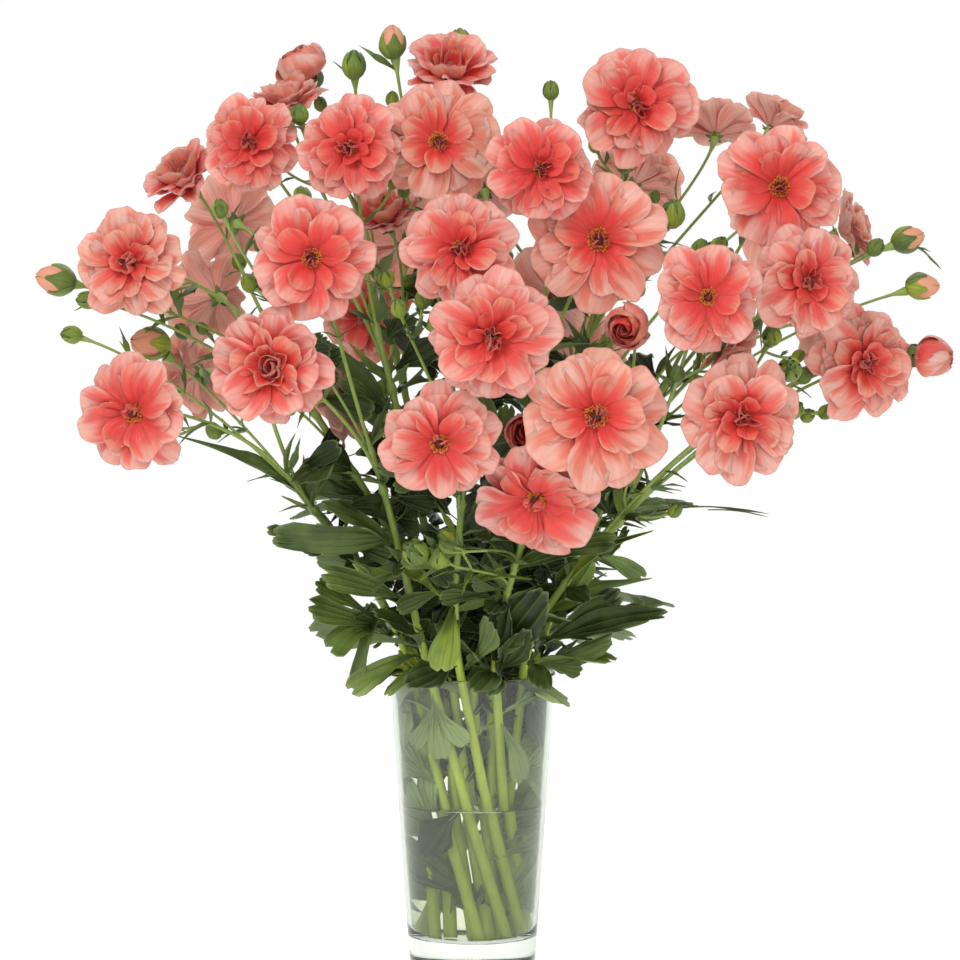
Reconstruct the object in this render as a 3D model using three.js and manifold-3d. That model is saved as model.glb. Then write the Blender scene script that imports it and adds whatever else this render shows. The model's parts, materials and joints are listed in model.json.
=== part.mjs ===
// A glass vase of ranunculus: branched leafy stems standing in water, each carrying several
// many-petalled blooms and buds. Millimetres, +Z up. The origin is the centre of the vase's foot,
// on the surface that it stands on, and -Y is the bunch's best side.
import * as THREE from "three";
import { mergeVertices } from "three/addons/utils/BufferGeometryUtils.js";
import Module from "manifold-3d";

const wasm = await Module();
wasm.setup();

// ---------------------------------------------------------------- driving dimensions
const VASE = {
  height: 192,
  footRadius: 41,
  rimRadius: 54.3,
  wall: 2.6,
  base: 18, // thick glass under the water
  chamfer: 2.5,
  sides: 28,
};
const WATER_TOP = 105;
const GAP = 0.35; // what touching pieces keep between them

const STEM = {
  footRadius: 3.7,
  neckRadius: 3.2,
  forkRadius: 2.3,
  branchRadius: 1.6,
  stalkRadius: 1.25,
  mainSides: 6,
  branchSides: 4,
  neckHeight: 192,
};
// The stems lean across the vase in two rings, an outer and an inner, and twist as they rise,
// so that each passes its neighbours: radius at the foot, radius at the neck, degrees of twist.
const RINGS = {
  outer: { foot: 27, neck: 40, twist: 90 },
  inner: { foot: 13, neck: 22, twist: 80 },
};

const PETAL = { thickness: 0.8, outer: 6, inner: 5 };
const LEAF = { thickness: 0.8, petiole: 1.6, sunk: 1.2, width: 0.36 };

const PETAL_COLOUR = 0xec8a7c;
const BUD_COLOUR = 0xe9957f;
const STEM_COLOUR = 0x5f8a3c;

// The bunch is arranged to be looked at from in front: eye and aim are where one stands and looks.
const VIEW = { eye: [5, -2990, 557], aim: [5, 0, 317] };

// ---------------------------------------------------------------- the blooms
// seen: where the petals join, as it shows across and up from the view, with its depth between
// the two. radius: of the open flower. face: degrees round from the front towards +X, then degrees
// up. form: how far its petals have opened.
const BLOOMS = {
  bloom_01: { seen: [-219, -112, 361], radius: 37, face: [-22, -4], form: "flat" },
  bloom_02: { seen: [-220, -104, 458], radius: 35, face: [-20, 3], form: "full" },
  bloom_03: { seen: [-183, -40, 509], radius: 31, face: [-45, 40], form: "cup" },
  bloom_04: { seen: [-130, -150, 391], radius: 38, face: [-10, 0], form: "cup" },
  bloom_05: { seen: [-104, -146, 461], radius: 38, face: [-5, 5], form: "flat" },
  bloom_06: { seen: [-144, -95, 535], radius: 31, face: [-8, 12], form: "full" },
  bloom_07: { seen: [-79, -112, 532], radius: 32, face: [-5, 10], form: "full" },
  bloom_08: { seen: [-119, -46, 557], radius: 27, face: [-30, 74], form: "cup" },
  bloom_09: { seen: [-22, -98, 536], radius: 39, face: [0, 12], form: "flat" },
  bloom_10: { seen: [-15, -50, 577], radius: 32, face: [8, 50], form: "full" },
  bloom_11: { seen: [-8, -156, 467], radius: 36, face: [0, 8], form: "full" },
  bloom_12: { seen: [13, -180, 410], radius: 40, face: [0, 0], form: "full" },
  bloom_13: { seen: [-21, -168, 341], radius: 36, face: [-5, -5], form: "flat" },
  bloom_14: { seen: [42, -146, 306], radius: 40, face: [-18, -30], form: "flat" },
  bloom_15: { seen: [80, -170, 359], radius: 45, face: [5, -3], form: "flat" },
  bloom_16: { seen: [82, -128, 473], radius: 43, face: [0, 5], form: "flat" },
  bloom_17: { seen: [44, -140, 519], radius: 33, face: [2, 5], form: "full" },
  bloom_18: { seen: [106, -72, 560], radius: 38, face: [5, 10], form: "full" },
  bloom_19: { seen: [158, -20, 541], radius: 27, face: [165, 50], form: "cup" },
  bloom_20: { seen: [194, 10, 546], radius: 26, face: [120, 58], form: "cup" },
  bloom_21: { seen: [199, -92, 507], radius: 38.5, face: [8, 8], form: "flat" },
  bloom_22: { seen: [217, -118, 445], radius: 36, face: [15, 8], form: "full" },
  bloom_23: { seen: [238, -22, 478], radius: 28, face: [85, 20], form: "cup" },
  bloom_24: { seen: [153, -152, 436], radius: 34, face: [6, 0], form: "flat" },
  bloom_25: { seen: [174, -142, 358], radius: 39.5, face: [12, -3], form: "full" },
  bloom_26: { seen: [253, -84, 393], radius: 36, face: [25, 0], form: "full" },
  bloom_27: { seen: [-166, -20, 436], radius: 34, face: [-145, 0], form: "cup" },
  bloom_28: { seen: [-54, -26, 482], radius: 30, face: [-40, 55], form: "cup" },
  bloom_29: { seen: [52, 20, 436], radius: 35, face: [-140, -10], form: "cup" },
  bloom_30: { seen: [-84, -40, 372], radius: 31, face: [-120, -20], form: "full" },
  bloom_31: { seen: [158, -90, 402], radius: 27, face: [60, -25], form: "cup" },
  bloom_32: { seen: [193, 100, 492], radius: 35, face: [145, 5], form: "full" },
  bloom_33: { seen: [222, 52, 420], radius: 33, face: [115, -5], form: "flat" },
  bloom_34: { seen: [104, 70, 508], radius: 34, face: [160, 25], form: "full" },
  bloom_35: { seen: [8, 62, 506], radius: 33, face: [182, 30], form: "cup" },
  bloom_36: { seen: [-154, 80, 484], radius: 35, face: [205, 5], form: "full" },
  bloom_37: { seen: [-178, 60, 386], radius: 31, face: [-125, -15], form: "flat" },
  bloom_38: { seen: [-42, 140, 470], radius: 38, face: [188, 10], form: "flat" },
  bloom_39: { seen: [66, 150, 392], radius: 37, face: [168, -3], form: "full" },
  bloom_40: { seen: [-68, 50, 423], radius: 32, face: [-20, -10], form: "flat" },
};

// Degrees that each form's outer and inner petals rise from the bloom's own plane, and how far
// the inner ones reach as a share of the outer.
const FORMS = {
  flat: { outer: 6, inner: 26, reach: 0.66 },
  full: { outer: 12, inner: 40, reach: 0.7 },
  cup: { outer: 26, inner: 58, reach: 0.78 },
};

// Buds that show their petals. seen: the foot of the petals. radius and length: of the bud.
const BUDS = {
  bud_01: { seen: [-106, 14, 577], radius: 15.5, length: 25, face: [-70, 62] },
  bud_02: { seen: [287, -70, 398], radius: 12, length: 26, face: [75, -4] },
  bud_03: { seen: [103, -120, 420], radius: 13, length: 22, face: [-15, -15] },
  bud_04: { seen: [38, -112, 348], radius: 12.5, length: 22, face: [-10, 5] },
};

// ---------------------------------------------------------------- the stems
// ring and neck: where the stem passes the vase's mouth, in degrees round from the front.
// fork: the top of the main stem. carries: the blooms and buds, the topmost first; each next one
// branches off lower down. closed: buds still held in their green sepals, by their tips as seen,
// the way each points and its radius. leaves: share of the way from neck to fork, the leaf's tip
// as seen, the way its upper face turns, and its width as a share of the usual.
const STEMS = {
  stem_01: {
    ring: "outer",
    neck: -80,
    fork: [-120, -45, 325],
    carries: ["bloom_01", "bloom_27"],
    closed: [
      { seen: [-268, -90, 412], face: [-80, 5], radius: 5.5 },
      { seen: [-222, -70, 408], face: [-60, 10], radius: 10.5 },
    ],
    leaves: [
      [0.16, [-108, -60, 236], [-30, 30], 1],
      [0.5, [-132, -66, 283], [-30, 45], 0.7],
      [0.85, [-170, -60, 346], [-50, 50], 0.8],
    ],
  },
  stem_02: {
    ring: "inner",
    neck: -75,
    fork: [-125, -50, 405],
    carries: ["bloom_02", "bloom_03"],
    closed: [
      { seen: [-284, -78, 450], face: [-82, 12], radius: 10 },
      { seen: [-258, -88, 434], face: [-85, 0], radius: 5.5 },
    ],
    leaves: [[0.62, [-118, -75, 325], [-30, 50], 0.8]],
  },
  stem_03: {
    ring: "outer",
    neck: -42,
    fork: [-65, -75, 345],
    carries: ["bloom_05", "bloom_04"],
    closed: [{ seen: [-165, -120, 500], face: [-20, 70], radius: 5 }],
    leaves: [
      [0.05, [-58, -64, 178], [-30, 20], 0.8],
      [0.1, [-80, -66, 184], [-30, 20], 0.9],
      [0.3, [-96, -80, 258], [-20, 40], 1],
      [0.55, [-100, -88, 300], [-20, 50], 0.8],
    ],
  },
  stem_04: {
    ring: "inner",
    neck: -38,
    fork: [-62, -60, 425],
    carries: ["bloom_07", "bloom_06"],
    closed: [{ seen: [-113, -100, 562], face: [-10, 70], radius: 5.5 }],
    leaves: [[0.7, [-98, -66, 408], [-20, 40], 0.7]],
  },
  stem_05: {
    ring: "inner",
    neck: -140,
    fork: [-62, 14, 450],
    carries: ["bud_01", "bloom_08", "bloom_28"],
    closed: [{ seen: [-77, -30, 597], face: [0, 85], radius: 7.5 }],
    leaves: [[0.6, [-100, 30, 375], [-120, 50], 0.8]],
  },
  stem_06: {
    ring: "inner",
    neck: 0,
    fork: [-18, -35, 455],
    carries: ["bloom_10", "bloom_09"],
    closed: [
      { seen: [-8, -20, 611], face: [0, 88], radius: 7.5 },
      { seen: [-52, -50, 613], face: [0, 86], radius: 8.5 },
    ],
    leaves: [[0.75, [-10, -88, 410], [-10, 40], 0.7]],
  },
  stem_07: {
    ring: "outer",
    neck: -10,
    fork: [-6, -92, 335],
    carries: ["bloom_11", "bloom_12", "bloom_13"],
    closed: [{ seen: [-58, -130, 455], face: [-20, 60], radius: 5.5 }],
    leaves: [
      [0.06, [-46, -80, 184], [-15, 20], 0.9],
      [0.36, [-24, -92, 198], [-10, 10], 0.8],
      [0.62, [-48, -100, 258], [-30, 40], 0.9],
      [0.88, [-62, -95, 328], [-30, 30], 0.8],
    ],
  },
  stem_08: {
    ring: "outer",
    neck: 22,
    fork: [32, -86, 285],
    carries: ["bloom_15", "bloom_14"],
    closed: [
      { seen: [-42, -118, 275], face: [-30, 30], radius: 8 },
      { seen: [-22, -112, 273], face: [0, 50], radius: 6.5 },
    ],
    leaves: [
      [0.04, [0, -84, 182], [0, 20], 1],
      [0.15, [44, -78, 242], [0, 10], 1.1],
      [0.5, [12, -100, 232], [-5, 30], 0.8],
      [0.8, [92, -112, 280], [10, 40], 0.8],
    ],
  },
  stem_09: {
    ring: "inner",
    neck: 35,
    fork: [44, -70, 405],
    carries: ["bloom_17", "bloom_16", "bud_04"],
    closed: [{ seen: [51, -70, 577], face: [-5, 80], radius: 5 }],
    leaves: [[0.62, [2, -70, 372], [-10, 20], 0.8]],
  },
  stem_10: {
    ring: "inner",
    neck: 75,
    fork: [84, -22, 445],
    carries: ["bloom_18", "bloom_19", "bloom_20"],
    closed: [{ seen: [131, -80, 500], face: [10, 75], radius: 7.5 }],
    leaves: [[0.66, [120, 10, 380], [60, 40], 0.8]],
  },
  stem_11: {
    ring: "outer",
    neck: 88,
    fork: [125, -40, 385],
    carries: ["bloom_21", "bloom_23", "bloom_22", "bloom_31"],
    closed: [
      { seen: [294, -48, 477], face: [80, 18], radius: 8.5 },
      { seen: [304, -60, 443], face: [80, 0], radius: 8.5 },
    ],
    leaves: [
      [0.16, [128, 20, 250], [100, 60], 1],
      [0.5, [150, 12, 300], [100, 50], 0.8],
    ],
  },
  stem_12: {
    ring: "outer",
    neck: 55,
    fork: [112, -76, 318],
    carries: ["bloom_26", "bud_02", "bloom_24", "bud_03", "bloom_25"],
    closed: [
      { seen: [207, -124, 392], face: [0, 20], radius: 7.5 },
      { seen: [194, -110, 416], face: [-10, 40], radius: 6 },
    ],
    leaves: [
      [0.04, [97, -60, 200], [40, 60], 0.9],
      [0.12, [130, -62, 228], [20, 40], 1.1],
      [0.45, [124, -105, 288], [20, 40], 0.7],
      [0.8, [196, -80, 300], [40, 50], 0.4],
    ],
  },
  stem_13: {
    ring: "outer",
    neck: 220,
    fork: [-62, 66, 360],
    carries: ["bloom_36", "bloom_38", "bloom_37", "bloom_40", "bloom_30"],
    closed: [{ seen: [-112, 112, 508], face: [205, 60], radius: 6 }],
    leaves: [
      [0.14, [-105, 75, 215], [215, 45], 1],
      [0.4, [-60, 120, 262], [200, 45], 1],
      [0.65, [-125, 70, 290], [235, 50], 0.8],
    ],
  },
  stem_14: {
    ring: "outer",
    neck: 140,
    fork: [66, 62, 385],
    carries: ["bloom_35", "bloom_34", "bloom_39", "bloom_32", "bloom_33"],
    closed: [{ seen: [120, 135, 500], face: [150, 50], radius: 6 }],
    leaves: [
      [0.12, [105, 78, 218], [140, 45], 1],
      [0.32, [50, 120, 250], [165, 45], 1],
      [0.55, [125, 75, 300], [125, 50], 0.8],
    ],
  },
};

// ---------------------------------------------------------------- directions and solids
const radians = THREE.MathUtils.degToRad;
const UP = new THREE.Vector3(0, 0, 1);
const point = (xyz) => new THREE.Vector3(...xyz);

// The point at a depth that shows at x across and z up on the upright plane through the aim.
function seenAt([x, depth, z]) {
  const eye = point(VIEW.eye);
  const aim = point(VIEW.aim);
  const onward = aim.clone().sub(eye).normalize();
  const right = onward.clone().cross(UP).normalize();
  const up = right.clone().cross(onward);
  const shown = aim.clone().addScaledVector(right, x - aim.x).addScaledVector(up, z - aim.z);
  const ray = shown.sub(eye);
  return eye.clone().addScaledVector(ray, (depth - eye.y) / ray.y);
}

// A unit vector from degrees round, 0 at -Y and 90 at +X, and degrees up.
function facing([round, up]) {
  const flat = Math.cos(radians(up));
  return new THREE.Vector3(
    Math.sin(radians(round)) * flat,
    -Math.cos(radians(round)) * flat,
    Math.sin(radians(up)),
  );
}

// The turn that takes local +Z to the way a flower faces, then spins it about that.
function turned(face, spin = 0) {
  const tilt = new THREE.Quaternion().setFromUnitVectors(UP, facing(face));
  return tilt.multiply(new THREE.Quaternion().setFromAxisAngle(UP, radians(spin)));
}

function geometryOf(positions, faces) {
  const made = new THREE.BufferGeometry();
  made.setAttribute("position", new THREE.Float32BufferAttribute(positions, 3));
  made.setIndex(faces);
  return made;
}

function solidOf(geometry) {
  const bare = geometry.clone();
  bare.deleteAttribute("normal");
  bare.deleteAttribute("uv");
  const merged = mergeVertices(bare, 1e-4);
  return new wasm.Manifold(
    new wasm.Mesh({
      numProp: 3,
      vertProperties: merged.attributes.position.array,
      triVerts: new Uint32Array(merged.index.array),
    }),
  );
}

function geometryFrom(solid) {
  const mesh = solid.getMesh();
  return geometryOf(mesh.vertProperties, [...mesh.triVerts]);
}

function meshNode(name, geometry, colour, roughness, extra = {}) {
  geometry.computeVertexNormals();
  const material = new THREE.MeshStandardMaterial({ color: colour, roughness, metalness: 0, ...extra });
  const mesh = new THREE.Mesh(geometry, material);
  mesh.name = name;
  return mesh;
}

// ---------------------------------------------------------------- vase and water
function lathed(profile, sides) {
  const points = profile.map(([radius, z]) => new THREE.Vector2(radius, z));
  return new THREE.LatheGeometry(points, sides).rotateX(Math.PI / 2);
}

const slope = (VASE.rimRadius - VASE.footRadius) / VASE.height;
const outerRadius = (z) => VASE.footRadius + slope * z;
const innerRadius = (z) => outerRadius(z) - VASE.wall;

function vaseGeometry() {
  const { height, chamfer, base, wall, sides } = VASE;
  return lathed(
    [
      [0, 0],
      [outerRadius(0) - chamfer, 0],
      [outerRadius(chamfer), chamfer],
      [outerRadius(height - 1), height - 1],
      [outerRadius(height) - wall / 2, height],
      [innerRadius(height - 1), height - 1],
      [innerRadius(base + 3), base + 3],
      [innerRadius(base) - 3, base],
      [0, base],
    ],
    sides,
  );
}

// The water fills the vase to its level and has a plain hole for each stem that stands in it.
function waterGeometry(holes) {
  const bottom = VASE.base + GAP;
  const body = lathed(
    [
      [0, bottom],
      [innerRadius(bottom) - 3 - GAP, bottom],
      [innerRadius(bottom + 3) - GAP * 1.3, bottom + 3],
      [innerRadius(WATER_TOP) - GAP * 1.3, WATER_TOP],
      [0, WATER_TOP],
    ],
    VASE.sides,
  );
  return geometryFrom(holes.reduce((water, hole) => water.subtract(hole), solidOf(body)));
}

// ---------------------------------------------------------------- blooms
// Joins two rings of vertices round the same axis, of any counts, walking round by their angles.
function bridge(faces, lower, upper) {
  let i = 0;
  let j = 0;
  while (i < lower.length || j < upper.length) {
    const nextLower = lower[(i + 1) % lower.length].angle + (i + 1 >= lower.length ? 2 * Math.PI : 0);
    const nextUpper = upper[(j + 1) % upper.length].angle + (j + 1 >= upper.length ? 2 * Math.PI : 0);
    const a = lower[i % lower.length].index;
    const b = upper[j % upper.length].index;
    if (j >= upper.length || (i < lower.length && nextLower <= nextUpper)) {
      faces.push(a, lower[(i + 1) % lower.length].index, b);
      i += 1;
    } else {
      faces.push(a, upper[(j + 1) % upper.length].index, b);
      j += 1;
    }
  }
}

// A many-petalled bloom as one closed body. Each petal grows from one side of a small core, so
// nothing crosses: an outer and an inner ring of petals, and a low cone for the eye.
function bloomGeometry(radius, form) {
  const positions = [];
  const faces = [];
  const vertex = (x, y, z) => positions.push(x, y, z) / 3 - 1;
  const core = radius * 0.15;
  const thick = PETAL.thickness;
  const length = radius - core;
  const outer = { count: PETAL.outer, rise: form.outer, length, core, z: 0, start: 0 };
  const inner = {
    count: PETAL.inner,
    rise: form.inner,
    length: length * form.reach,
    core: core * 0.82,
    z: thick * 2.6,
    start: 0.3,
  };
  let below = null;
  for (const ring of [outer, inner]) {
    const sector = (2 * Math.PI) / ring.count;
    const roots = [];
    for (let k = 0; k < ring.count; k += 1) {
      const angle = ring.start + k * sector;
      const x = ring.core * Math.cos(angle);
      const y = ring.core * Math.sin(angle);
      roots.push({ angle, low: vertex(x, y, ring.z), high: vertex(x, y, ring.z + thick) });
    }
    const lows = roots.map(({ angle, low }) => ({ angle, index: low }));
    const highs = roots.map(({ angle, high }) => ({ angle, index: high }));
    if (below) bridge(faces, below, lows);
    else lows.slice(2).forEach(({ index }, k) => faces.push(lows[0].index, index, lows[k + 1].index));
    roots.forEach((from, k) => {
      const middle = ring.start + (k + 0.5) * sector;
      addPetal(vertex, faces, ring, from, roots[(k + 1) % ring.count], middle, sector, k);
    });
    below = highs;
  }
  const eye = vertex(0, 0, thick * 3.6 + radius * 0.14);
  below.forEach(({ index }, k) => faces.push(index, below[(k + 1) % below.length].index, eye));
  return geometryOf(positions, faces);
}

// One petal between two neighbouring roots of the core: broad, rounded and a little cupped, with
// its two faces split into triangles alike. Every other petal is a little shorter and higher.
function addPetal(vertex, faces, ring, from, to, middle, sector, k) {
  const rise = radians(ring.rise + (k % 2 ? 5 : 0));
  const length = ring.length * (k % 2 ? 0.93 : 1);
  const cup = length * 0.07;
  // As wide as its own sector of the ring leaves room for, so that it clears its neighbours.
  const room = (share, height) =>
    (ring.core * 0.9 + share * length * Math.cos(rise) - height * Math.sin(rise)) * Math.tan(sector / 2);
  const wide = room(0.76, cup) * 0.92;
  const blunt = room(0.99, cup * 0.3) * 0.5;
  const outline = [
    [0.76, -wide, cup],
    [0.99, -blunt, cup * 0.3],
    [0.99, blunt, cup * 0.3],
    [0.76, wide, cup],
  ];
  const place = ([share, side, height], lift) => {
    const along = share * length;
    const out = ring.core + along * Math.cos(rise) - (height + lift) * Math.sin(rise);
    return vertex(
      out * Math.cos(middle) - side * Math.sin(middle),
      out * Math.sin(middle) + side * Math.cos(middle),
      ring.z + PETAL.thickness / 2 + along * Math.sin(rise) + (height + lift) * Math.cos(rise),
    );
  };
  const top = [from.high, ...outline.map((p) => place(p, PETAL.thickness / 2)), to.high];
  const bottom = [from.low, ...outline.map((p) => place(p, -PETAL.thickness / 2)), to.low];
  for (const [a, b, c] of [[0, 1, 2], [0, 2, 3], [0, 3, 5], [5, 3, 4]]) {
    faces.push(top[a], top[b], top[c], bottom[a], bottom[c], bottom[b]);
  }
  for (let i = 0; i < 5; i += 1) {
    faces.push(top[i], bottom[i], bottom[i + 1], top[i], bottom[i + 1], top[i + 1]);
  }
}

// A bud that shows its petals: rings of vertices that turn as they rise, so that their edges
// wind round it as the wrapped petals' do.
function budGeometry(radius, length) {
  const sides = 8;
  const profile = [
    [0.62, 0, 0],
    [0.98, 0.3, 12],
    [0.92, 0.66, 34],
    [0.5, 0.93, 60],
  ];
  const positions = [];
  const faces = [];
  for (const [share, height, turn] of profile) {
    for (let k = 0; k < sides; k += 1) {
      const angle = (k / sides) * 2 * Math.PI + radians(turn);
      const out = radius * share * (k % 2 ? 0.9 : 1);
      positions.push(out * Math.cos(angle), out * Math.sin(angle), length * height);
    }
  }
  positions.push(0, 0, 0, 0, 0, length);
  const foot = profile.length * sides;
  const tip = foot + 1;
  for (let k = 0; k < sides; k += 1) {
    const next = (k + 1) % sides;
    faces.push(foot, next, k);
    for (let row = 0; row < profile.length - 1; row += 1) {
      const a = row * sides;
      const b = a + sides;
      faces.push(a + k, a + next, b + next, a + k, b + next, b + k);
    }
    const last = (profile.length - 1) * sides;
    faces.push(last + k, last + next, tip);
  }
  return geometryOf(positions, faces);
}

// ---------------------------------------------------------------- stems and leaves
// A closed tube through stations, each a point, the way the tube runs there and its radius.
function tube(stations, sides) {
  const positions = [];
  const faces = [];
  let side = Math.abs(stations[0].along.z) < 0.9 ? UP : new THREE.Vector3(1, 0, 0);
  for (const { at, along, radius } of stations) {
    side = side.clone().addScaledVector(along, -side.dot(along)).normalize();
    const other = along.clone().cross(side);
    for (let k = 0; k < sides; k += 1) {
      const angle = (k / sides) * 2 * Math.PI;
      const q = at
        .clone()
        .addScaledVector(side, radius * Math.cos(angle))
        .addScaledVector(other, radius * Math.sin(angle));
      positions.push(q.x, q.y, q.z);
    }
  }
  for (let i = 0; i < stations.length - 1; i += 1) {
    for (let k = 0; k < sides; k += 1) {
      const next = (k + 1) % sides;
      const a = i * sides;
      const b = a + sides;
      faces.push(a + k, a + next, b + next, a + k, b + next, b + k);
    }
  }
  const last = (stations.length - 1) * sides;
  for (let k = 1; k < sides - 1; k += 1) {
    faces.push(0, k + 1, k);
    faces.push(last, last + k, last + k + 1);
  }
  return geometryOf(positions, faces);
}

const stationsAlong = (curve, shares, radii) =>
  shares.map((t, i) => ({ at: curve.getPointAt(t), along: curve.getTangentAt(t), radius: radii[i] }));

const { lerp: mix } = THREE.MathUtils;

function ringPoint(radius, round, z) {
  return point([radius * Math.sin(radians(round)), -radius * Math.cos(radians(round)), z]);
}

// Where a main stem runs: straight from its foot to the vase's mouth, then in a curve to its fork.
function mainRoute(stem) {
  const ring = RINGS[stem.ring];
  const foot = ringPoint(ring.foot, stem.neck + ring.twist, VASE.base + 1);
  const neck = ringPoint(ring.neck, stem.neck, STEM.neckHeight);
  const fork = point(stem.fork);
  const lean = neck.clone().sub(foot).normalize();
  const reach = fork.distanceTo(neck);
  const outwards = fork.clone().sub(ringPoint(ring.neck * 0.6, stem.neck, STEM.neckHeight)).normalize();
  const upper = new THREE.CubicBezierCurve3(
    neck,
    neck.clone().addScaledVector(lean, reach * 0.33),
    fork.clone().addScaledVector(outwards, -reach * 0.33),
    fork,
  );
  return { foot, neck, upper };
}

// A branch leaves the main stem along it and comes up behind what it carries.
function branchCurve(upper, share, end, face, bend) {
  const start = upper.getPoint(share);
  const along = upper.getTangent(share);
  const reach = end.distanceTo(start);
  return new THREE.CubicBezierCurve3(
    start,
    start.clone().addScaledVector(along, reach * 0.35),
    end.clone().addScaledVector(facing(face), -Math.min(bend, reach * 0.4)),
    end,
  );
}

// Half of a leaf's outline, from its stalk to its tip, as shares of its length and width: a side
// lobe that widens to a blunt end, a deep bay, and a middle lobe of the same shape.
const LEAF_HALF = [
  [0.26, 0.05],
  [0.58, 0.98],
  [0.74, 0.86],
  [0.72, 0.5],
  [0.47, 0.13],
  [0.84, 0.42],
  [0.97, 0.26],
];

// A lobed leaf with its stalk, arched along its length: one thin blade, both faces split alike.
function leafGeometry(length, wide) {
  const width = length * LEAF.width * wide;
  const stalk = LEAF.petiole / 2 / width;
  const half = [[0, stalk], ...LEAF_HALF];
  const outline = [...half, [1, 0], ...half.map(([x, y]) => [x, -y]).reverse()];
  const flat = outline.map(([x, y]) => new THREE.Vector2(x * length, y * width)).reverse();
  const triangles = THREE.ShapeUtils.triangulateShape(flat, []);
  const positions = [];
  for (const lift of [LEAF.thickness / 2, -LEAF.thickness / 2]) {
    for (const { x, y } of flat) {
      const share = x / length;
      positions.push(x, y, lift + length * (0.22 * share - 0.34 * share * share));
    }
  }
  const count = flat.length;
  const faces = [];
  for (const [a, b, c] of triangles) faces.push(a, b, c, count + a, count + c, count + b);
  for (let i = 0; i < count; i += 1) {
    const j = (i + 1) % count;
    faces.push(i, count + i, count + j, i, count + j, j);
  }
  return geometryOf(positions, faces);
}

// A leaf on its main stem, from a root sunk in the stem to its tip.
function leafSolid(upper, [share, tip, shows, wide]) {
  const root = upper.getPoint(share);
  const along = seenAt(tip).sub(root);
  const length = along.length();
  along.normalize();
  const normal = facing(shows).addScaledVector(along, -facing(shows).dot(along)).normalize();
  const across = normal.clone().cross(along);
  const turn = new THREE.Matrix4().makeBasis(along, across, normal);
  turn.setPosition(root.addScaledVector(along, -LEAF.sunk));
  return solidOf(leafGeometry(length, wide).applyMatrix4(turn));
}

const BRANCH_STEP = 0.17; // how much lower on the main stem each next branch leaves it

function stemSolid(stem) {
  const { foot, neck, upper } = mainRoute(stem);
  const lean = neck.clone().sub(foot).normalize();
  const shares = [0, 0.25, 0.5, 0.75, 1];
  const radii = shares.map((t) => mix(STEM.neckRadius, STEM.forkRadius, t));
  const main = [{ at: foot, along: lean, radius: STEM.footRadius }, ...stationsAlong(upper, shares, radii)];
  const parts = [solidOf(tube(main, STEM.mainSides))];
  stem.carries.forEach((name, i) => {
    const held = BLOOMS[name] ?? BUDS[name];
    const cup = held.radius * (BLOOMS[name] ? 0.14 : 0.6);
    const end = seenAt(held.seen).addScaledVector(facing(held.face), -GAP);
    const curve = branchCurve(upper, Math.max(0.97 - i * BRANCH_STEP, 0.3), end, held.face, 42);
    const { branchRadius, stalkRadius } = STEM;
    const stations = stationsAlong(
      curve,
      [0, 0.35, 0.7, 0.95, 1],
      [branchRadius, mix(branchRadius, stalkRadius, 0.5), stalkRadius, stalkRadius * 1.3, cup],
    );
    parts.push(solidOf(tube(stations, STEM.branchSides)));
  });
  stem.closed.forEach((bud, i) => {
    const curve = branchCurve(upper, 0.8 - i * 0.2, seenAt(bud.seen), bud.face, 40);
    const share = (bud.radius * 2.6) / curve.getLength();
    const { stalkRadius } = STEM;
    const stations = stationsAlong(
      curve,
      [0, 0.35, 0.7, 1 - share, 1 - share * 0.75, 1 - share * 0.35, 1],
      [stalkRadius, stalkRadius, stalkRadius, stalkRadius, bud.radius, bud.radius * 0.9, bud.radius * 0.2],
    );
    parts.push(solidOf(tube(stations, STEM.branchSides)));
  });
  stem.leaves.forEach((leaf) => parts.push(leafSolid(upper, leaf)));
  return parts.reduce((whole, part) => whole.add(part));
}

// The stretch of a stem that stands in the water, a gap wider all round.
function stemHole(stem) {
  const { foot, neck } = mainRoute(stem);
  const along = neck.clone().sub(foot).normalize();
  const below = foot.clone().addScaledVector(along, -4);
  const stations = [below, neck].map((at) => ({ at, along, radius: STEM.footRadius + GAP * 1.2 }));
  return solidOf(tube(stations, STEM.mainSides));
}

// ---------------------------------------------------------------- the whole bunch
const bunch = new THREE.Group();
bunch.name = "vase_of_ranunculus";

bunch.add(meshNode("vase", vaseGeometry(), 0xe8f0ee, 0.05, { transparent: true, opacity: 0.35 }));
bunch.add(
  meshNode("water", waterGeometry(Object.values(STEMS).map(stemHole)), 0xdbe8e0, 0.02, {
    transparent: true,
    opacity: 0.3,
  }),
);

for (const [name, stem] of Object.entries(STEMS)) {
  bunch.add(meshNode(name, geometryFrom(stemSolid(stem)), STEM_COLOUR, 0.55));
}

const SPIN = 37; // degrees that each next bloom is turned about its own axis
Object.entries(BLOOMS).forEach(([name, bloom], i) => {
  const mesh = meshNode(name, bloomGeometry(bloom.radius, FORMS[bloom.form]), PETAL_COLOUR, 0.6);
  mesh.position.copy(seenAt(bloom.seen));
  mesh.quaternion.copy(turned(bloom.face, SPIN * i));
  bunch.add(mesh);
});

Object.entries(BUDS).forEach(([name, bud], i) => {
  const mesh = meshNode(name, budGeometry(bud.radius, bud.length), BUD_COLOUR, 0.6);
  mesh.position.copy(seenAt(bud.seen));
  mesh.quaternion.copy(turned(bud.face, SPIN * i));
  bunch.add(mesh);
});

export default bunch;
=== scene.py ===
# A vase of ranunculus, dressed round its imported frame: petals in whorls, stamens, ridged stems,
# toothed leaves, buds wrapped in sepals, and a glass vase with its water.
# Places are in the frame's own axes. Lengths in the tables are millimetres, and MM makes metres.
import json
import math

import bpy
import numpy as np
from mathutils import Matrix, Vector

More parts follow.
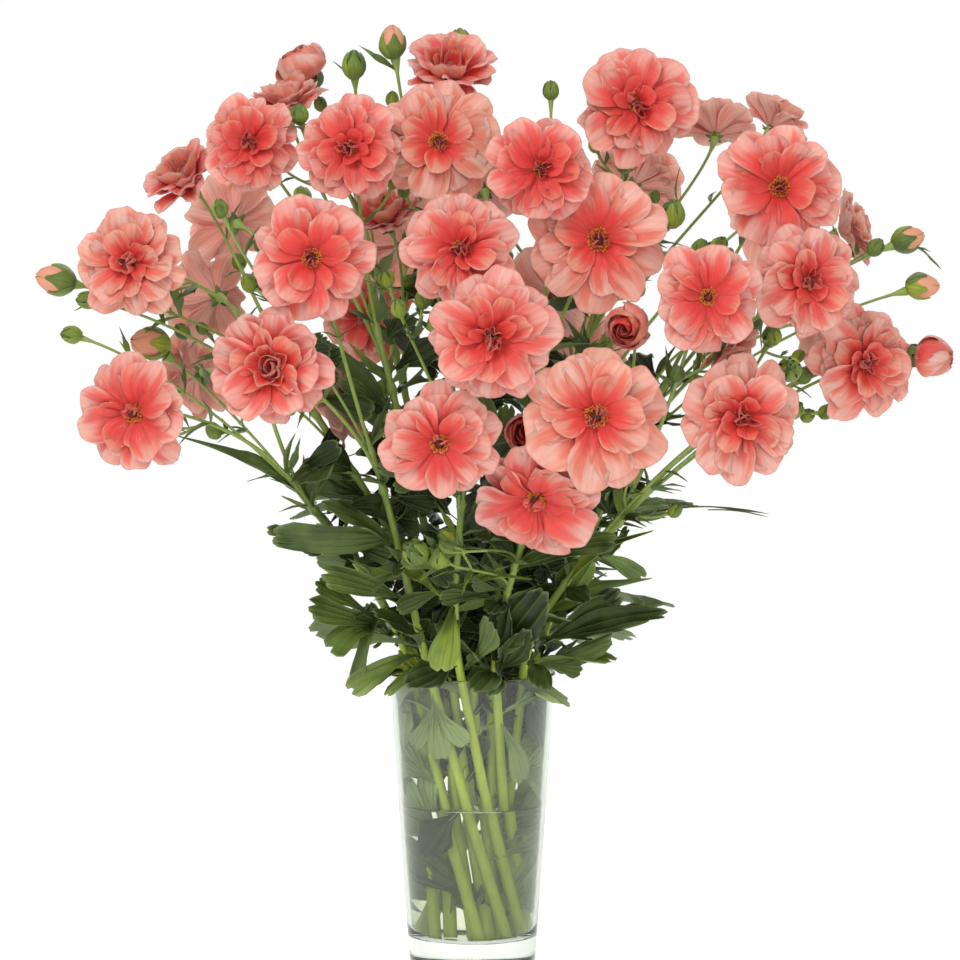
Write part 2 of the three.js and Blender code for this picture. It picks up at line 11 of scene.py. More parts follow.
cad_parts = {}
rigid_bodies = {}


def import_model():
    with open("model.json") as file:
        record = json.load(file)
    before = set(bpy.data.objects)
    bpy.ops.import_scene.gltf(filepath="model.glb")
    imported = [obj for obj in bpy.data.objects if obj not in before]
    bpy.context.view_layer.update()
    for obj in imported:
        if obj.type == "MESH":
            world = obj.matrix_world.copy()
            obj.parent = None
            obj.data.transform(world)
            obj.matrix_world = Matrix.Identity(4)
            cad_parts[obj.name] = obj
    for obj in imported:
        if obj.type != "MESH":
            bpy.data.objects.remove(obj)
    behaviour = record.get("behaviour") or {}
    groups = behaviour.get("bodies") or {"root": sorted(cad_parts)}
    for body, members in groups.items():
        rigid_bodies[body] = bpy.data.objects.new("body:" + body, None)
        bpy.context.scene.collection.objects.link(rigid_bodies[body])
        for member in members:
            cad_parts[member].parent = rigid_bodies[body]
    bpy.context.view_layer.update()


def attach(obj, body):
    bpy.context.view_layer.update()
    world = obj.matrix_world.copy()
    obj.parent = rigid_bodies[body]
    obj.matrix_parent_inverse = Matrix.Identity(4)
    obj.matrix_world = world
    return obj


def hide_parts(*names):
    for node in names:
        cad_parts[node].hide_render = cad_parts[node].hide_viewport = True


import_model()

MM = 0.001
SEED = 7
SPIN = 37  # degrees that each bloom is turned on from the one before

# ---------------------------------------------------------------- the arrangement, as in the part
VASE = {"height": 192, "foot": 41, "rim": 54.3, "wall": 2.6, "base": 18}
WATER_TOP = 105
GAP = 0.35
NECK_HEIGHT = 192
RINGS = {
    "outer": {"foot": 27, "neck": 40, "twist": 90},
    "inner": {"foot": 13, "neck": 22, "twist": 80},
}
STEM = {"foot": 3.7, "neck": 3.0, "fork": 2.0, "branch": 1.35, "stalk": 0.95}
BRANCH_STEP = 0.17  # of the main stem's upper part, from one branch down to the next
BLOOM_BEND, BUD_BEND = 42, 40  # the last part of a branch, which lies along the flower's axis
BRANCH_PER_BUD = 0.06  # metres of a branch for each young bud at its side
EYE = (5, -2990, 557)
AIM = (5, 0, 317)

# Each bloom: (across, depth, up) as seen, radius, (degrees round, degrees up) that it faces, form,
# and tone: from -1, pale and peach, to 1, deep coral. A bowl is half open, its petals upright.
BLOOMS = {
    "bloom_01": ((-219, -112, 361), 37, (-22, -4), "flat", 0.3),
    "bloom_02": ((-220, -104, 458), 35, (-20, 3), "full", -0.4),
    "bloom_03": ((-183, -40, 509), 31, (-45, 40), "bowl", 0.1),
    "bloom_04": ((-130, -150, 391), 38, (-10, 0), "cup", 0.2),
    "bloom_05": ((-104, -146, 461), 38, (-5, 5), "flat", 0.5),
    "bloom_06": ((-144, -95, 535), 31, (-8, 12), "full", 0.8),
    "bloom_07": ((-79, -112, 532), 32, (-5, 10), "full", 0.9),
    "bloom_08": ((-119, -46, 557), 27, (-30, 74), "bowl", 0.0),
    "bloom_09": ((-22, -98, 536), 39, (0, 12), "flat", -0.7),
    "bloom_10": ((-15, -50, 577), 32, (8, 50), "bowl", 0.3),
    "bloom_11": ((-8, -156, 467), 36, (0, 8), "full", 0.1),
    "bloom_12": ((13, -180, 410), 40, (0, 0), "full", 0.2),
    "bloom_13": ((-21, -168, 341), 36, (-5, -5), "flat", 0.0),
    "bloom_14": ((42, -146, 306), 40, (-18, -30), "flat", 0.4),
    "bloom_15": ((80, -170, 359), 45, (5, -3), "flat", -0.6),
    "bloom_16": ((82, -128, 473), 43, (0, 5), "flat", -0.4),
    "bloom_17": ((44, -140, 519), 33, (2, 5), "full", 1.0),
    "bloom_18": ((106, -72, 560), 38, (5, 10), "full", 0.3),
    "bloom_19": ((158, -20, 541), 27, (165, 50), "bowl", 0.2),
    "bloom_20": ((194, 10, 546), 26, (120, 58), "bowl", 0.0),
    "bloom_21": ((199, -92, 507), 38.5, (8, 8), "flat", 0.4),
    "bloom_22": ((217, -118, 445), 36, (15, 8), "full", -0.1),
    "bloom_23": ((238, -22, 478), 28, (85, 20), "bowl", 0.0),
    "bloom_24": ((153, -152, 436), 34, (6, 0), "flat", 0.4),
    "bloom_25": ((174, -142, 358), 39.5, (12, -3), "full", -0.3),
    "bloom_26": ((253, -84, 393), 36, (25, 0), "full", -0.2),
    "bloom_27": ((-166, -20, 436), 34, (-145, 0), "bowl", -0.2),
    "bloom_28": ((-54, -26, 482), 30, (-40, 55), "bowl", 0.0),
    "bloom_29": ((52, 20, 436), 35, (-140, -10), "cup", 0.0),
    "bloom_30": ((-84, -40, 372), 31, (-120, -20), "full", 0.2),
    "bloom_31": ((158, -90, 402), 27, (60, -25), "bowl", 0.0),
    "bloom_32": ((193, 100, 492), 35, (145, 5), "full", 0.2),
    "bloom_33": ((222, 52, 420), 33, (115, -5), "flat", -0.2),
    "bloom_34": ((104, 70, 508), 34, (160, 25), "full", 0.4),
    "bloom_35": ((8, 62, 506), 33, (182, 30), "cup", 0.2),
    "bloom_36": ((-154, 80, 484), 35, (205, 5), "bowl", -0.1),
    "bloom_37": ((-178, 60, 386), 31, (-125, -15), "flat", 0.1),
    "bloom_38": ((-42, 140, 470), 38, (188, 10), "flat", -0.4),
    "bloom_39": ((66, 150, 392), 37, (168, -3), "full", 0.3),
    "bloom_40": ((-68, 50, 423), 32, (-20, -10), "flat", 0.0),
}

# Each bud that shows its petals: where, radius, length, way it faces, tone, and how far it has
# opened: an open bud's rows stand shorter and let go outwards.
BUDS = {
    "bud_01": ((-106, 14, 577), 15.5, 25, (-70, 62), -1.0, 0.6),
    "bud_02": ((287, -70, 398), 12, 26, (75, -4), -0.3, 0.1),
    "bud_03": ((103, -120, 420), 13, 22, (-15, -15), 0.2, 0.8),
    "bud_04": ((38, -112, 348), 12.5, 22, (-10, 5), 1.0, 1.0),
}

# Each stem: ring, degrees round at the neck, fork, what it carries, closed buds as (tip, way,
# radius), and leaves as (share of the way up, tip, way the face turns, width, tint from 0, dark, to
# 1, yellow-green, and kind).
STEMS = {
    "stem_01": (
        "outer", -80, (-120, -45, 325), ("bloom_01", "bloom_27"),
        [((-268, -90, 412), (-80, 5), 5.5), ((-222, -70, 408), (-60, 10), 10.5)],
        [
            (0.16, (-108, -60, 236), (-30, 30), 1, 0.5, "lobed"),
            (0.5, (-132, -66, 283), (-30, 45), 0.7, 0.5, "lobed"),
            (0.87, (-180, -60, 356), (-50, 50), 0.55, 0.4, "bract"),
        ],
    ),
    "stem_02": (
        "inner", -75, (-125, -50, 405), ("bloom_02", "bloom_03"),
        [((-284, -78, 450), (-82, 12), 10), ((-258, -88, 434), (-85, 0), 5.5)],
        [(0.62, (-118, -75, 325), (-30, 50), 0.8, 0.3, "oval")],
    ),
    "stem_03": (
        "outer", -42, (-65, -75, 345), ("bloom_05", "bloom_04"),
        [((-165, -120, 500), (-20, 70), 5)],
        [
            (0.05, (-58, -64, 178), (-30, 20), 0.8, 0.6, "strap"),
            (0.1, (-80, -66, 184), (-30, 20), 0.9, 0.5, "wedge"),
            (0.3, (-96, -80, 258), (-20, 40), 1, 0.5, "wedge"),
            (0.55, (-100, -88, 300), (-20, 50), 0.8, 0.4, "oval"),
        ],
    ),
    "stem_04": (
        "inner", -38, (-62, -60, 425), ("bloom_07", "bloom_06"),
        [((-113, -100, 562), (-10, 70), 5.5)],
        [(0.7, (-98, -66, 408), (-20, 40), 0.7, 0.35, "forked")],
    ),
    "stem_05": (
        "inner", -140, (-62, 14, 450), ("bud_01", "bloom_08", "bloom_28"),
        [((-77, -30, 597), (0, 85), 7.5)],
        [(0.6, (-100, 30, 375), (-120, 50), 0.8, 0.4, "lobed")],
    ),
    "stem_06": (
        "inner", 0, (-18, -35, 455), ("bloom_10", "bloom_09"),
        [((-8, -20, 611), (0, 88), 7.5), ((-52, -50, 613), (0, 86), 8.5)],
        [(0.75, (-10, -88, 410), (-10, 40), 0.7, 0.45, "lobed")],
    ),
    "stem_07": (
        "outer", -10, (-6, -92, 335), ("bloom_11", "bloom_12", "bloom_13"),
        [((-58, -130, 455), (-20, 60), 5.5)],
        [
            (0.06, (-46, -80, 184), (-15, 20), 0.9, 0.18, "oval"),
            (0.36, (-22, -106, 196), (-10, 10), 1.0, 0.66, "wedge"),
            (0.62, (-48, -100, 258), (-30, 40), 0.9, 0.8, "bract"),
            (0.88, (-62, -95, 328), (-30, 30), 0.8, 0.4, "lobed"),
        ],
    ),
    "stem_08": (
        "outer", 22, (32, -86, 285), ("bloom_15", "bloom_14"),
        [((-42, -118, 275), (-30, 30), 8), ((-22, -112, 273), (0, 50), 6.5)],
        [
            (0.04, (0, -84, 182), (0, 20), 1, 0.2, "oval"),
            (0.15, (44, -78, 242), (0, 10), 1.1, 0.04, "oval"),
            (0.5, (12, -100, 232), (-5, 30), 0.8, 0.12, "oval"),
            (0.8, (92, -112, 280), (10, 40), 0.8, 0.3, "strap"),
        ],
    ),
    "stem_09": (
        "inner", 35, (44, -70, 405), ("bloom_17", "bloom_16", "bud_04"),
        [((51, -70, 577), (-5, 80), 5)],
        [(0.62, (2, -70, 372), (-10, 20), 0.8, 0.4, "lobed")],
    ),
    "stem_10": (
        "inner", 75, (84, -22, 445), ("bloom_18", "bloom_19", "bloom_20"),
        [((131, -80, 500), (10, 75), 7.5)],
        [(0.66, (120, 10, 380), (60, 40), 0.8, 0.45, "forked")],
    ),
    "stem_11": (
        "outer", 88, (125, -40, 385), ("bloom_21", "bloom_23", "bloom_22", "bloom_31"),
        [((294, -48, 477), (80, 18), 8.5), ((304, -60, 443), (80, 0), 8.5)],
        [
            (0.16, (128, 20, 250), (100, 60), 1, 0.4, "oval"),
            (0.5, (150, 12, 300), (100, 50), 0.8, 0.5, "forked"),
        ],
    ),
    "stem_12": (
        "outer", 55, (112, -76, 318), ("bloom_26", "bud_02", "bloom_24", "bud_03", "bloom_25"),
        [((207, -124, 392), (0, 20), 7.5), ((194, -110, 416), (-10, 40), 6)],
        [
            (0.04, (97, -60, 200), (40, 60), 0.9, 0.7, "wedge"),
            (0.12, (130, -62, 228), (20, 40), 1.1, 0.3, "toothed"),
            (0.45, (124, -105, 288), (20, 40), 0.7, 0.75, "bract"),
            (0.8, (196, -80, 300), (40, 50), 0.4, 0.35, "grass"),
        ],
    ),
    "stem_13": (
        "outer", 220, (-62, 66, 360), ("bloom_36", "bloom_38", "bloom_37", "bloom_40", "bloom_30"),
        [((-112, 112, 508), (205, 60), 6)],
        [
            (0.14, (-105, 75, 215), (215, 45), 1, 0.35, "lobed"),
            (0.4, (-60, 120, 262), (200, 45), 1, 0.5, "lobed"),
            (0.65, (-125, 70, 290), (235, 50), 0.8, 0.45, "forked"),
        ],
    ),
    "stem_14": (
        "outer", 140, (66, 62, 385), ("bloom_35", "bloom_34", "bloom_39", "bloom_32", "bloom_33"),
        [((120, 135, 500), (150, 50), 6)],
        [
            (0.12, (105, 78, 218), (140, 45), 1, 0.5, "lobed"),
            (0.32, (50, 120, 250), (165, 45), 1, 0.35, "forked"),
            (0.55, (125, 75, 300), (125, 50), 0.8, 0.6, "lobed"),
        ],
    ),
}

# More leaves at the front, over the vase's mouth: stem, and the same as above.
FRONT_LEAVES = [
    ("stem_07", 0.42, (44, -98, 252), (0, 60), 1.0, 0.80, "bract"),
    ("stem_03", 0.48, (8, -98, 270), (-10, 55), 0.8, 0.72, "lance"),
    ("stem_03", 0.45, (-58, -84, 276), (-30, 60), 0.9, 0.70, "lance"),
    ("stem_03", 0.45, (-18, -96, 239), (0, 20), 0.9, 0.80, "lance"),
    ("stem_08", 0.05, (20, -74, 244), (-20, 15), 0.75, 0.16, "oval"),
    ("stem_07", 0.02, (16, -84, 226), (165, -10), 0.9, 0.50, "wedge"),
    ("stem_08", 0.02, (37, -72, 222), (20, 15), 0.7, 0.12, "oval"),
    ("stem_03", 0.10, (-63, -72, 234), (-30, 40), 1.1, 0.14, "oval"),
    ("stem_12", 0.02, (92, -72, 216), (200, -30), 0.9, 0.45, "forked"),
    ("stem_11", 0.15, (71, -58, 265), (10, 30), 0.9, 0.60, "wedge"),
    ("stem_11", 0.08, (96, -30, 246), (40, 20), 0.7, 0.20, "wedge"),
    ("stem_01", 0.30, (-80, -58, 186), (-50, 15), 0.8, 0.55, "strap"),
    ("stem_03", 0.45, (-74, -66, 244), (-30, 25), 0.9, 0.50, "wedge"),
    ("stem_01", 0.22, (-86, -40, 226), (-60, 20), 1.0, 0.12, "oval"),
    ("stem_12", 0.30, (118, -60, 262), (30, 40), 0.8, 0.62, "bract"),
    ("stem_02", 0.52, (-96, -30, 322), (-40, 30), 0.9, 0.20, "oval"),
    ("stem_03", 0.60, (-131, -72, 281), (-10, 10), 0.8, 0.42, "strap"),
    ("stem_01", 0.62, (-108, -66, 294), (-30, 35), 0.8, 0.22, "lance"),
    ("stem_01", 0.80, (-104, -60, 326), (-20, 45), 0.8, 0.28, "toothed"),
    ("stem_12", 0.05, (48, -84, 190), (20, 20), 0.8, 0.30, "wedge"),
    ("stem_08", 0.00, (10, -76, 180), (0, 10), 0.8, 0.22, "oval"),
]

# Leaves seen through the glass: stem, share of the way up to the vase's mouth, tip as (degrees
# round, share of the way out to the wall, height), width, tint and kind.
VASE_LEAVES = [
    ("stem_12", 0.97, (78, 1.1, 140), 1.3, 0.04, "oval"),
    ("stem_01", 0.98, (-84, 1.1, 138), 1.3, 0.85, "oval"),
    ("stem_03", 0.97, (-30, 0.85, 136), 1.2, 0.75, "lobed"),
    ("stem_03", 0.52, (-60, 0.85, 70), 1.4, 0.10, "oval"),
    ("stem_12", 0.72, (80, 1.1, 104), 1.2, 0.80, "toothed"),
    ("stem_08", 0.85, (49, 1.0, 122), 1.3, 0.65, "wedge"),
    ("stem_06", 0.90, (170, 0.5, 160), 1.5, 0.25, "smooth"),
    ("stem_09", 0.88, (185, 0.6, 150), 1.5, 0.20, "smooth"),
    ("stem_04", 0.60, (200, 0.6, 120), 1.4, 0.25, "smooth"),
]


# ---------------------------------------------------------------- places and directions
def seen_at(seen):
    """The point, in metres, that shows at (across, depth, up) from the view in front."""
    eye, aim = Vector(EYE), Vector(AIM)
    onward = (aim - eye).normalized()
    right = onward.cross(Vector((0, 0, 1))).normalized()
    up = right.cross(onward)
    shown = aim + right * (seen[0] - aim.x) + up * (seen[2] - aim.z)
    ray = shown - eye
    return (eye + ray * ((seen[1] - eye.y) / ray.y)) * MM


def facing(way):
    """A unit vector from degrees round, 0 at -Y and 90 at +X, and degrees up."""
    round_, up = math.radians(way[0]), math.radians(way[1])
    flat = math.cos(up)
    return Vector((math.sin(round_) * flat, -math.cos(round_) * flat, math.sin(up)))


def turned(way, spin=0.0):
    """The turn that takes +Z to the way a flower faces, after a spin about its own axis."""
    tilt = Vector((0, 0, 1)).rotation_difference(facing(way)).to_matrix()
    return (tilt @ Matrix.Rotation(math.radians(spin), 3, "Z")).to_4x4()


class Curve:
    """A cubic Bezier curve in metres, read by its own share or by its length."""

    STEPS = 200

    def __init__(self, *points):
        self.points = np.array([tuple(p) for p in points])
        shares = np.linspace(0, 1, self.STEPS + 1)
        walk = np.linalg.norm(np.diff(self.at(shares), axis=0), axis=1)
        self.walked = np.concatenate([[0], np.cumsum(walk)])
        self.shares = shares
        self.length = self.walked[-1]

    def at(self, t):
        t = np.asarray(t, float)[..., None]
        a, b, c, d = self.points
        return a * (1 - t) ** 3 + 3 * b * t * (1 - t) ** 2 + 3 * c * t**2 * (1 - t) + d * t**3

    def along(self, t):
        t = np.asarray(t, float)[..., None]
        a, b, c, d = self.points
        way = (b - a) * (1 - t) ** 2 + 2 * (c - b) * t * (1 - t) + (d - c) * t**2
        return way / np.linalg.norm(way, axis=-1, keepdims=True)

    def share(self, part):
        """The curve's own share at that part of its length."""
        return np.interp(np.asarray(part) * self.length, self.walked, self.shares)


def ring_point(radius, round_, z):
    turn = math.radians(round_)
    return Vector((radius * math.sin(turn), -radius * math.cos(turn), z)) * MM


def main_route(stem):
    """Where a main stem stands, where it passes the vase's mouth, and its curve up to its fork."""
    ring, neck_round = RINGS[stem[0]], stem[1]
    foot = ring_point(ring["foot"], neck_round + ring["twist"], VASE["base"] + 1)
    neck = ring_point(ring["neck"], neck_round, NECK_HEIGHT)
    fork = Vector(stem[2]) * MM
    lean = (neck - foot).normalized()
    reach = (fork - neck).length
    outwards = (fork - ring_point(ring["neck"] * 0.6, neck_round, NECK_HEIGHT)).normalized()
    upper = Curve(neck, neck + lean * reach * 0.33, fork - outwards * reach * 0.33, fork)
    return foot, neck, upper


def branch_curve(upper, share, end, way, bend):
    """A branch leaves the main stem along it and comes up behind what it carries."""
    start = Vector(upper.at(share))
    along = Vector(upper.along(share))
    reach = (end - start).length
    return Curve(
        start, start + along * reach * 0.35, end - facing(way) * min(bend * MM, reach * 0.4), end
    )


# ---------------------------------------------------------------- node trees
class Value:
    """An output of a node. A sum with it adds a Math node to its tree."""

    def __init__(self, tree, outputs, which=0):
        self.tree, self.outputs, self.socket = tree, outputs, outputs[which]

    def __getitem__(self, which):
        """Another output of the same node."""
        return Value(self.tree, self.outputs, which)

    def math(self, operation, other=0.0, swapped=False):
        ends = {0: other, 1: self} if swapped else {0: self, 1: other}
        return node(self.tree, "ShaderNodeMath", ends, operation=operation)

    def __add__(self, other):
        return self.math("ADD", other)

    def __sub__(self, other):
        return self.math("SUBTRACT", other)

    def __rsub__(self, other):
        return self.math("SUBTRACT", other, swapped=True)

    def __mul__(self, other):
        return self.math("MULTIPLY", other)

    def __truediv__(self, other):
        return self.math("DIVIDE", other)

    def __rtruediv__(self, other):
        return self.math("DIVIDE", other, swapped=True)

    def between(self, low, high, out_low=0.0, out_high=1.0):
        """Goes smoothly from out_low to out_high as this goes from low to high."""
        ends = {0: self, 1: low, 2: high, 3: out_low, 4: out_high}
        return node(self.tree, "ShaderNodeMapRange", ends, interpolation_type="SMOOTHSTEP")


def node(tree, kind, inputs=None, **settings):
    """Adds a node with its settings, feeds its inputs and gives its outputs, the first in front."""
    made = tree.nodes.new(kind)
    for name, value in settings.items():
        setattr(made, name, value)
    for name, value in (inputs or {}).items():
        feed(made.inputs[name], value)
    return Value(tree, made.outputs)


def feed(socket, value):
    if isinstance(value, Value):
        value.tree.links.new(value.socket, socket)
    else:
        socket.default_value = value


def vector(tree, x=0.0, y=0.0, z=0.0):
    return node(tree, "ShaderNodeCombineXYZ", {0: x, 1: y, 2: z})


def rotation(tree, x=0.0, y=0.0, z=0.0):
    return node(tree, "FunctionNodeEulerToRotation", {0: vector(tree, x, y, z)})


def about_axis(turn, radius, height):
    """A place at a turn and a distance from the flower's axis."""
    return vector(turn.tree, turn.math("COSINE") * radius, turn.math("SINE") * radius, height)


def open_tree(name, kind, inputs, outputs):
    """A node group with named sockets, in and out: {name: kind}."""
    tree = bpy.data.node_groups.new(name, kind)
    for in_out, sockets in (("INPUT", inputs), ("OUTPUT", outputs)):
        for label, socket in sockets.items():
            tree.interface.new_socket(label, in_out=in_out, socket_type="NodeSocket" + socket)
    given = Value(tree, tree.nodes.new("NodeGroupInput").outputs)
    return tree, given, tree.nodes.new("NodeGroupOutput").inputs


def chance(seed, channel, low, high):
    """A random number for each point, told apart from the others by its channel."""
    inputs = {2: low, 3: high, 8: seed + channel * 101.0}
    return node(seed.tree, "FunctionNodeRandomValue", inputs, data_type="FLOAT")[1]


def stored(geometry, name, value):
    """Stores a value for each instance."""
    return node(
        geometry.tree, "GeometryNodeStoreNamedAttribute",
        {"Geometry": geometry, "Name": name, "Value": value}, data_type="FLOAT", domain="INSTANCE",
    )


def named(tree, name):
    return node(tree, "GeometryNodeInputNamedAttribute", {"Name": name}, data_type="FLOAT")


def finished(geometry, finish):
    return node(geometry.tree, "GeometryNodeSetMaterial", {"Geometry": geometry, "Material": finish})


def joined(flower, geometry):
    """A geometry together with what the flower has already."""
    both = node(flower.tree, "GeometryNodeJoinGeometry", {0: geometry})
    feed(both.socket.node.inputs[0], flower)
    return both


def grown(piece, tree, values):
    """Adds a tree to a piece as a modifier, with its inputs set by their names."""
    modifier = piece.modifiers.new(tree.name, "NODES")
    modifier.node_group = tree
    for item in tree.interface.items_tree:
        if item.in_out == "INPUT" and item.name in values:
            modifier[item.identifier] = values[item.name]


def settled(piece):
    """Turns what a piece's trees grow into its plain mesh, and takes the trees off."""
    bpy.context.view_layer.update()
    shaped = piece.evaluated_get(bpy.context.evaluated_depsgraph_get())
    mesh = bpy.data.meshes.new_from_object(shaped)
    piece.modifiers.clear()
    piece.data = mesh
    return piece


def whorl_tree():
    """One ring of petals round the flower's axis: each a little off its place, its edge ruffled."""
    tree, given, result = open_tree(
        "petal_whorl", "GeometryNodeTree",
        {
            "Flower": "Geometry", "Petals": "Collection", "Count": "Int", "Kept": "Float",
            "Root radius": "Float", "Height": "Float", "Length": "Float", "Rise": "Float",
            "Spin": "Float", "Wander": "Float", "Ruffle": "Float", "Share": "Float",
            "Finish": "Material", "Seed": "Int",
        },
        {"Flower": "Geometry"},
    )
    index, count, seed = node(tree, "GeometryNodeInputIndex"), given["Count"], given["Seed"]
    turn = index * (2 * math.pi / count) + given["Spin"]
    turn = turn + chance(seed, 1, -1.0, 1.0) * given["Wander"]
    place = about_axis(turn, given["Root radius"], given["Height"])
    # Every other petal lies over its neighbours, and each leans and rolls by chance.
    rise = given["Rise"] + index.math("MODULO", 2.0) * 0.12 + chance(seed, 2, -0.13, 0.20)
    rolled = rotation(tree, y=chance(seed, 3, -0.36, 0.36))
    raised = rotation(tree, rise, 0.0, turn - math.pi / 2)
    held = node(tree, "FunctionNodeRotateRotation", {0: rolled, 1: raised}, rotation_space="GLOBAL")
    size = given["Length"] * chance(seed, 4, 0.90, 1.06)
    width = size * chance(seed, 5, 0.84, 1.18)
    petals = node(
        tree, "GeometryNodeCollectionInfo",
        {"Collection": given["Petals"], "Separate Children": True, "Reset Children": True},
    )
    pattern = node(
        tree, "FunctionNodeRandomValue", {4: 0, 5: VARIANTS - 1, 8: seed}, data_type="INT"
    )[2]
    whole = node(
        tree, "GeometryNodeInstanceOnPoints",
        {
            "Points": node(tree, "GeometryNodePoints", {"Count": count, "Position": place}),
            "Selection": chance(seed, 7, 0.0, 1.0).math("LESS_THAN", given["Kept"]),
            "Instance": petals, "Pick Instance": True, "Instance Index": pattern,
            "Rotation": held, "Scale": vector(tree, width, size, size),
        },
    )
    whole = stored(whole, "tint", chance(seed, 6, 0.0, 1.0))
    whole = stored(whole, "share", given["Share"])
    whole = node(tree, "GeometryNodeRealizeInstances", {"Geometry": whole})
    # The ruffle grows towards the petal's tip, and differs from one whorl to the next.
    waves = node(
        tree, "ShaderNodeTexNoise",
        {
            "Vector": node(tree, "GeometryNodeInputPosition"),
            "W": seed * 3.7 + named(tree, "tint") * 5.0, "Scale": 58.0, "Detail": 1.0,
        },
        noise_dimensions="4D",
    )["Color"]
    sway = node(tree, "ShaderNodeVectorMath", {0: waves, 1: (0.5, 0.5, 0.5)}, operation="SUBTRACT")
    out = named(tree, "out")
    amount = out * out * given["Ruffle"]
    offset = node(tree, "ShaderNodeVectorMath", {0: sway, "Scale": amount}, operation="SCALE")
    whole = node(tree, "GeometryNodeSetPosition", {"Geometry": whole, "Offset": offset})
    feed(result["Flower"], joined(given["Flower"], finished(whole, given["Finish"])))
    return tree


def spray_tree():
    """Rings of small pieces that stand on a dome round the flower's axis, leaning out from it."""
    tree, given, result = open_tree(
        "spray_on_dome", "GeometryNodeTree",
        {
            "Flower": "Geometry", "Piece": "Object", "Count": "Int", "From": "Float", "To": "Float",
            "Dome radius": "Float", "Dome height": "Float", "Height": "Float", "Size": "Float",
            "Lean": "Float", "Finish": "Material", "Seed": "Int",
        },
        {"Flower": "Geometry"},
    )
    golden = math.pi * (3 - math.sqrt(5))
    index, count, seed = node(tree, "GeometryNodeInputIndex"), given["Count"], given["Seed"]
    turn = index * golden
    part = (index + 0.5) / count
    out = part.math("SQRT") * (given["To"] - given["From"]) + given["From"]
    slope = out * (math.pi / 2)
    side = slope.math("SINE") * given["Dome radius"]
    up = slope.math("COSINE") * given["Dome height"] + given["Height"]
    tilt = (slope + chance(seed, 1, -0.2, 0.2)) * given["Lean"]
    size = given["Size"] * chance(seed, 2, 0.8, 1.15)
    piece = node(tree, "GeometryNodeObjectInfo", {"Object": given["Piece"]})["Geometry"]
    position = about_axis(turn, side, up)
    whole = node(
        tree, "GeometryNodeInstanceOnPoints",
        {
            "Points": node(tree, "GeometryNodePoints", {"Count": count, "Position": position}),
            "Instance": piece, "Rotation": rotation(tree, 0.0, tilt, turn),
            "Scale": vector(tree, size, size, size),
        },
    )
    whole = stored(whole, "tint", chance(seed, 3, 0.0, 1.0))
    whole = node(tree, "GeometryNodeRealizeInstances", {"Geometry": whole})
    feed(result["Flower"], joined(given["Flower"], finished(whole, given["Finish"])))
    return tree


def stalk_tree():
    """Ridged stalks along the edges of a wire, as thick as the wire's own values say."""
    tree, given, result = open_tree(
        "ridged_stalks", "GeometryNodeTree",
        {"Wire": "Geometry", "Ridges": "Int", "Ridge depth": "Float", "Finish": "Material"},
        {"Stalks": "Geometry"},
    )
    routes = node(tree, "GeometryNodeMeshToCurve", {"Mesh": given["Wire"]})
    thick = named(tree, "thick")
    routes = node(tree, "GeometryNodeSetCurveRadius", {"Curve": routes, "Radius": thick})
    section = node(
        tree, "GeometryNodeCurveStar",
        {"Points": given["Ridges"], "Inner Radius": 1.0 - given["Ridge depth"], "Outer Radius": 1.0},
    )
    tubes = node(
        tree, "GeometryNodeCurveToMesh",
        {"Curve": routes, "Profile Curve": section, "Scale": thick, "Fill Caps": True},
    )
    whole = node(tree, "GeometryNodeRealizeInstances", {"Geometry": tubes})
    feed(result["Stalks"], finished(whole, given["Finish"]))
    return tree


# ---------------------------------------------------------------- thin shells
def shell(grid, thickness, rim=0.3):
    """A thin closed sheet over a grid of points, thinner at its rim: points, quads, grid places."""
    rows, columns, _ = grid.shape
    normal = np.cross(np.gradient(grid, axis=1), np.gradient(grid, axis=0))
    normal /= np.maximum(np.linalg.norm(normal, axis=-1, keepdims=True), 1e-12)
    edge = np.ones((rows, columns))
    edge[[0, -1], :] = rim
    edge[:, [0, -1]] = rim
    lift = normal * (edge * thickness / 2)[..., None]
    points = np.concatenate([(grid + lift).reshape(-1, 3), (grid - lift).reshape(-1, 3)])
    index = np.arange(rows * columns).reshape(rows, columns)
    a, b, c, d = index[:-1, :-1], index[:-1, 1:], index[1:, 1:], index[1:, :-1]
    top = np.stack([a, b, c, d], axis=-1).reshape(-1, 4)
    bottom = np.stack([a, d, c, b], axis=-1).reshape(-1, 4) + rows * columns
    border = np.concatenate([index[0, :-1], index[:-1, -1], index[-1, :0:-1], index[:0:-1, 0]])
    after = np.roll(border, -1)
    side = np.stack([border, border + rows * columns, after + rows * columns, after], axis=-1)
    u, v = np.meshgrid(np.linspace(0, 1, columns), np.linspace(0, 1, rows))
    uv = np.tile(np.stack([u, v], axis=-1).reshape(-1, 2), (2, 1))
    under = np.repeat([0.0, 1.0], rows * columns)
    return points, np.concatenate([top, bottom, side]), uv, under


